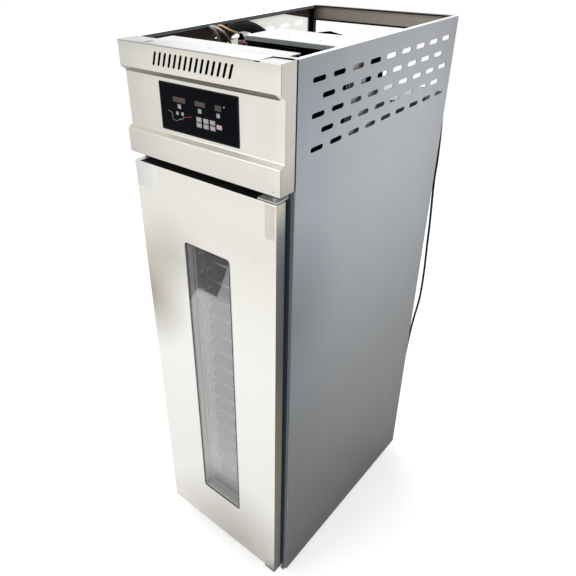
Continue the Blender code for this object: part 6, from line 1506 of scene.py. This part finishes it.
def back_details():
    """Screws and pressed stiffening beads on the back, and ribs on the cord's strain relief."""
    low, high = bounds("rear_panel")
    heads = [(x, REAR - 0.0011, z) for x in (low.x + 0.012, high.x - 0.012) for z in SCREW_LEVELS]
    heads += [(x, REAR - 0.0011, z) for x in (-0.14, 0.0, 0.14) for z in (low.z + 0.012, high.z - 0.012)]
    keep(screws(heads, (0, 1, 0), 0.0045, 0.0022), "back_screws", RIVET, "cabinet", smooth=True)
    beads, (left, right) = bmesh.new(), BEAD_ACROSS
    section = [(inset, REAR + height) for inset, height in BEAD_HEIGHTS]
    for z in BEAD_LEVELS:

        def outline(inset, low=z - BEAD_HALF, high=z + BEAD_HALF):
            return ring(left + inset, low + inset, right - inset, high - inset, BEAD_CORNER - inset, 6)

        join(beads, frame_run(section, outline))
    keep(beads, "back_beads", ZINC, "cabinet", smooth=True)
    place, radius = STRAIN_RELIEF, 0.0086
    ribs = bmesh.new()
    for n in range(5):
        y = place.y + 0.0045 * n
        thick = radius - 0.00052 * n
        inner, outer = thick - 0.0012, thick + 0.0006
        rib = [(inner, -0.0010), (outer, -0.0008), (outer, 0.0008), (inner, 0.0010)]
        join(ribs, turned(rib, (place.x, y, place.z), (0, 1, 0), 20))
    keep(ribs, "strain_relief_ribs", RUBBER_AND_SHADE, "cabinet", smooth=True)


def cold_room():
    """The rack as bars and round runs on square uprights with lugs, and screws in the air duct's panel."""
    bars, runs = bmesh.new(), bmesh.new()
    half, front, back, radius = RACK_HALF, RACK_FRONT, RACK_BACK, RUN_RADIUS
    first, last = front + radius + RUN_SETBACK, back - radius
    for level in TRAY_LEVELS:
        join(bars, block((-half, front, level - 0.0045), (half, front + 0.004, level + 0.0045), 0.0015, 2))
        loop = ring(-half + radius, first, half - radius, last, 0.030, 5)
        join(runs, tube([(x, y, level) for x, y in loop], radius, cyclic=True, resolution=1))
        join(runs, tube([(0, first, level), (0, last, level)], radius, resolution=1))
    keep(bars, "tray_bars", BAR_STEEL, "cabinet", ["tray_rack"], smooth=True)
    keep(runs, "tray_runs", RUN_STEEL, "cabinet", smooth=True)
    uprights, hooks = bmesh.new(), bmesh.new()
    low, high = bounds("tray_rack")
    for side in (-1, 1):
        for y in UPRIGHT_ALONG:
            near, far = sorted(side * x for x in UPRIGHT_ACROSS)
            join(uprights, block((near, y, low.z), (far, y + UPRIGHT_DEPTH, high.z), 0.0012, 2))
            near, far = sorted(side * x for x in LUG_ACROSS)
            end = y + UPRIGHT_DEPTH + 0.0006
            for level in TRAY_LEVELS:
                join(hooks, block((near, y - 0.0006, level + 0.0035), (far, end, level + 0.0120), 0.0006, 1))
        near, far = sorted(side * x for x in FRONT_LUG_ACROSS)
        for level in TRAY_LEVELS:
            join(hooks, block((near, front, level + 0.0050), (far, front + 0.012, level + 0.0200), 0.0008, 1))
    keep(uprights, "rack_uprights", RACK_STEEL, "cabinet")
    keep(hooks, "rack_lugs", LUG_STEEL, "cabinet")
    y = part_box("air_duct_panel")[0][1]
    places = [(x, y, z) for x in SCREWS_ACROSS for z in DUCT_SCREWS]
    keep(screws(places, (0, -1, 0), 0.0040, 0.0016), "duct_screws", RIVET, "cabinet", smooth=True)


def feet():
    """Threads on the levelling feet's stems."""
    for end, y in FEET_ALONG:
        for hand, x in FEET_ACROSS:
            node = f"{end}_{hand}_foot"
            rings = bmesh.new()
            for n in range(THREAD_RINGS):
                join(rings, turned(THREAD, (x, y, THREAD_START + THREAD_PITCH * n), steps=12))
            keep(rings, f"{node}_thread", ZINC, node, smooth=True)


# ---------------------------------------------------------------- studio


def seen_rays(nodes, links):
    """1 for rays from the camera, also by way of gloss and glass, and 0 for light."""
    rays = nodes.new("ShaderNodeLightPath")
    seen = rays.outputs["Is Camera Ray"]
    for name in ("Is Glossy Ray", "Is Transmission Ray"):
        both = nodes.new("ShaderNodeMath")
        both.operation = "MAXIMUM"
        links.new(seen, both.inputs[0])
        links.new(rays.outputs[name], both.inputs[1])
        seen = both.outputs[0]
    return seen


def studio():
    """Pale floor, soft lamps and a white surrounding."""
    scene = bpy.context.scene
    scene.view_settings.view_transform = "Standard"
    world = bpy.data.worlds.new("studio")
    scene.world = world
    world.use_nodes = True
    nodes, links = world.node_tree.nodes, world.node_tree.links
    nodes.clear()
    out = nodes.new("ShaderNodeOutputWorld")
    mixed = nodes.new("ShaderNodeMixShader")
    links.new(seen_rays(nodes, links), mixed.inputs[0])
    for socket, strength in ((mixed.inputs[1], 0.62), (mixed.inputs[2], 1.0)):
        shade = nodes.new("ShaderNodeBackground")
        shade.inputs["Color"].default_value = ON
        shade.inputs["Strength"].default_value = strength
        links.new(shade.outputs[0], socket)
    links.new(mixed.outputs[0], out.inputs["Surface"])

    def lamp(name, place, aim, size, power):
        light = bpy.data.lights.new(name, "AREA")
        light.shape = "DISK"
        light.size = size
        light.energy = power
        made = bpy.data.objects.new(name, light)
        made.location = place
        made.rotation_euler = (Vector(aim) - Vector(place)).to_track_quat("-Z", "Y").to_euler()
        scene.collection.objects.link(made)

    lamp("key_lamp", (-1.2, -3.2, 3.4), (0, 0, 1.1), 2.6, 60)
    lamp("fill_lamp", (3.4, -0.6, 2.6), (0, 0, 1.1), 2.6, 28)
    lamp("back_lamp", (-2.4, 3.0, 3.0), (0, 0, 1.2), 2.6, 30)

    bm = bmesh.new()
    bmesh.ops.create_grid(bm, x_segments=1, y_segments=1, size=30)
    mesh = bpy.data.meshes.new("floor")
    bm.to_mesh(mesh)
    bm.free()
    floor = bpy.data.objects.new("floor", mesh)
    floor.location = (0, 0, -0.0002)
    scene.collection.objects.link(floor)
    made = Finish("pale_floor", grey(0.9), 0.9)
    lift = made.maths("MULTIPLY", seen_rays(made.nodes, made.links), 0.42)
    made.put("Emission Color", ON)
    made.links.new(lift, made.shader.inputs["Emission Strength"])
    mesh.materials.append(made.material)


camera()
mains_cord()
side_panel("left", -1)
side_panel("right", 1)
case_trim()
pressed_fascia()
display_face()
door_skin()
door_details()
door_back()
head_gap()
condenser()
shroud_details()
copper_lines()
compressor_details()
control_box_details()
back_details()
cold_room()
feet()
studio()
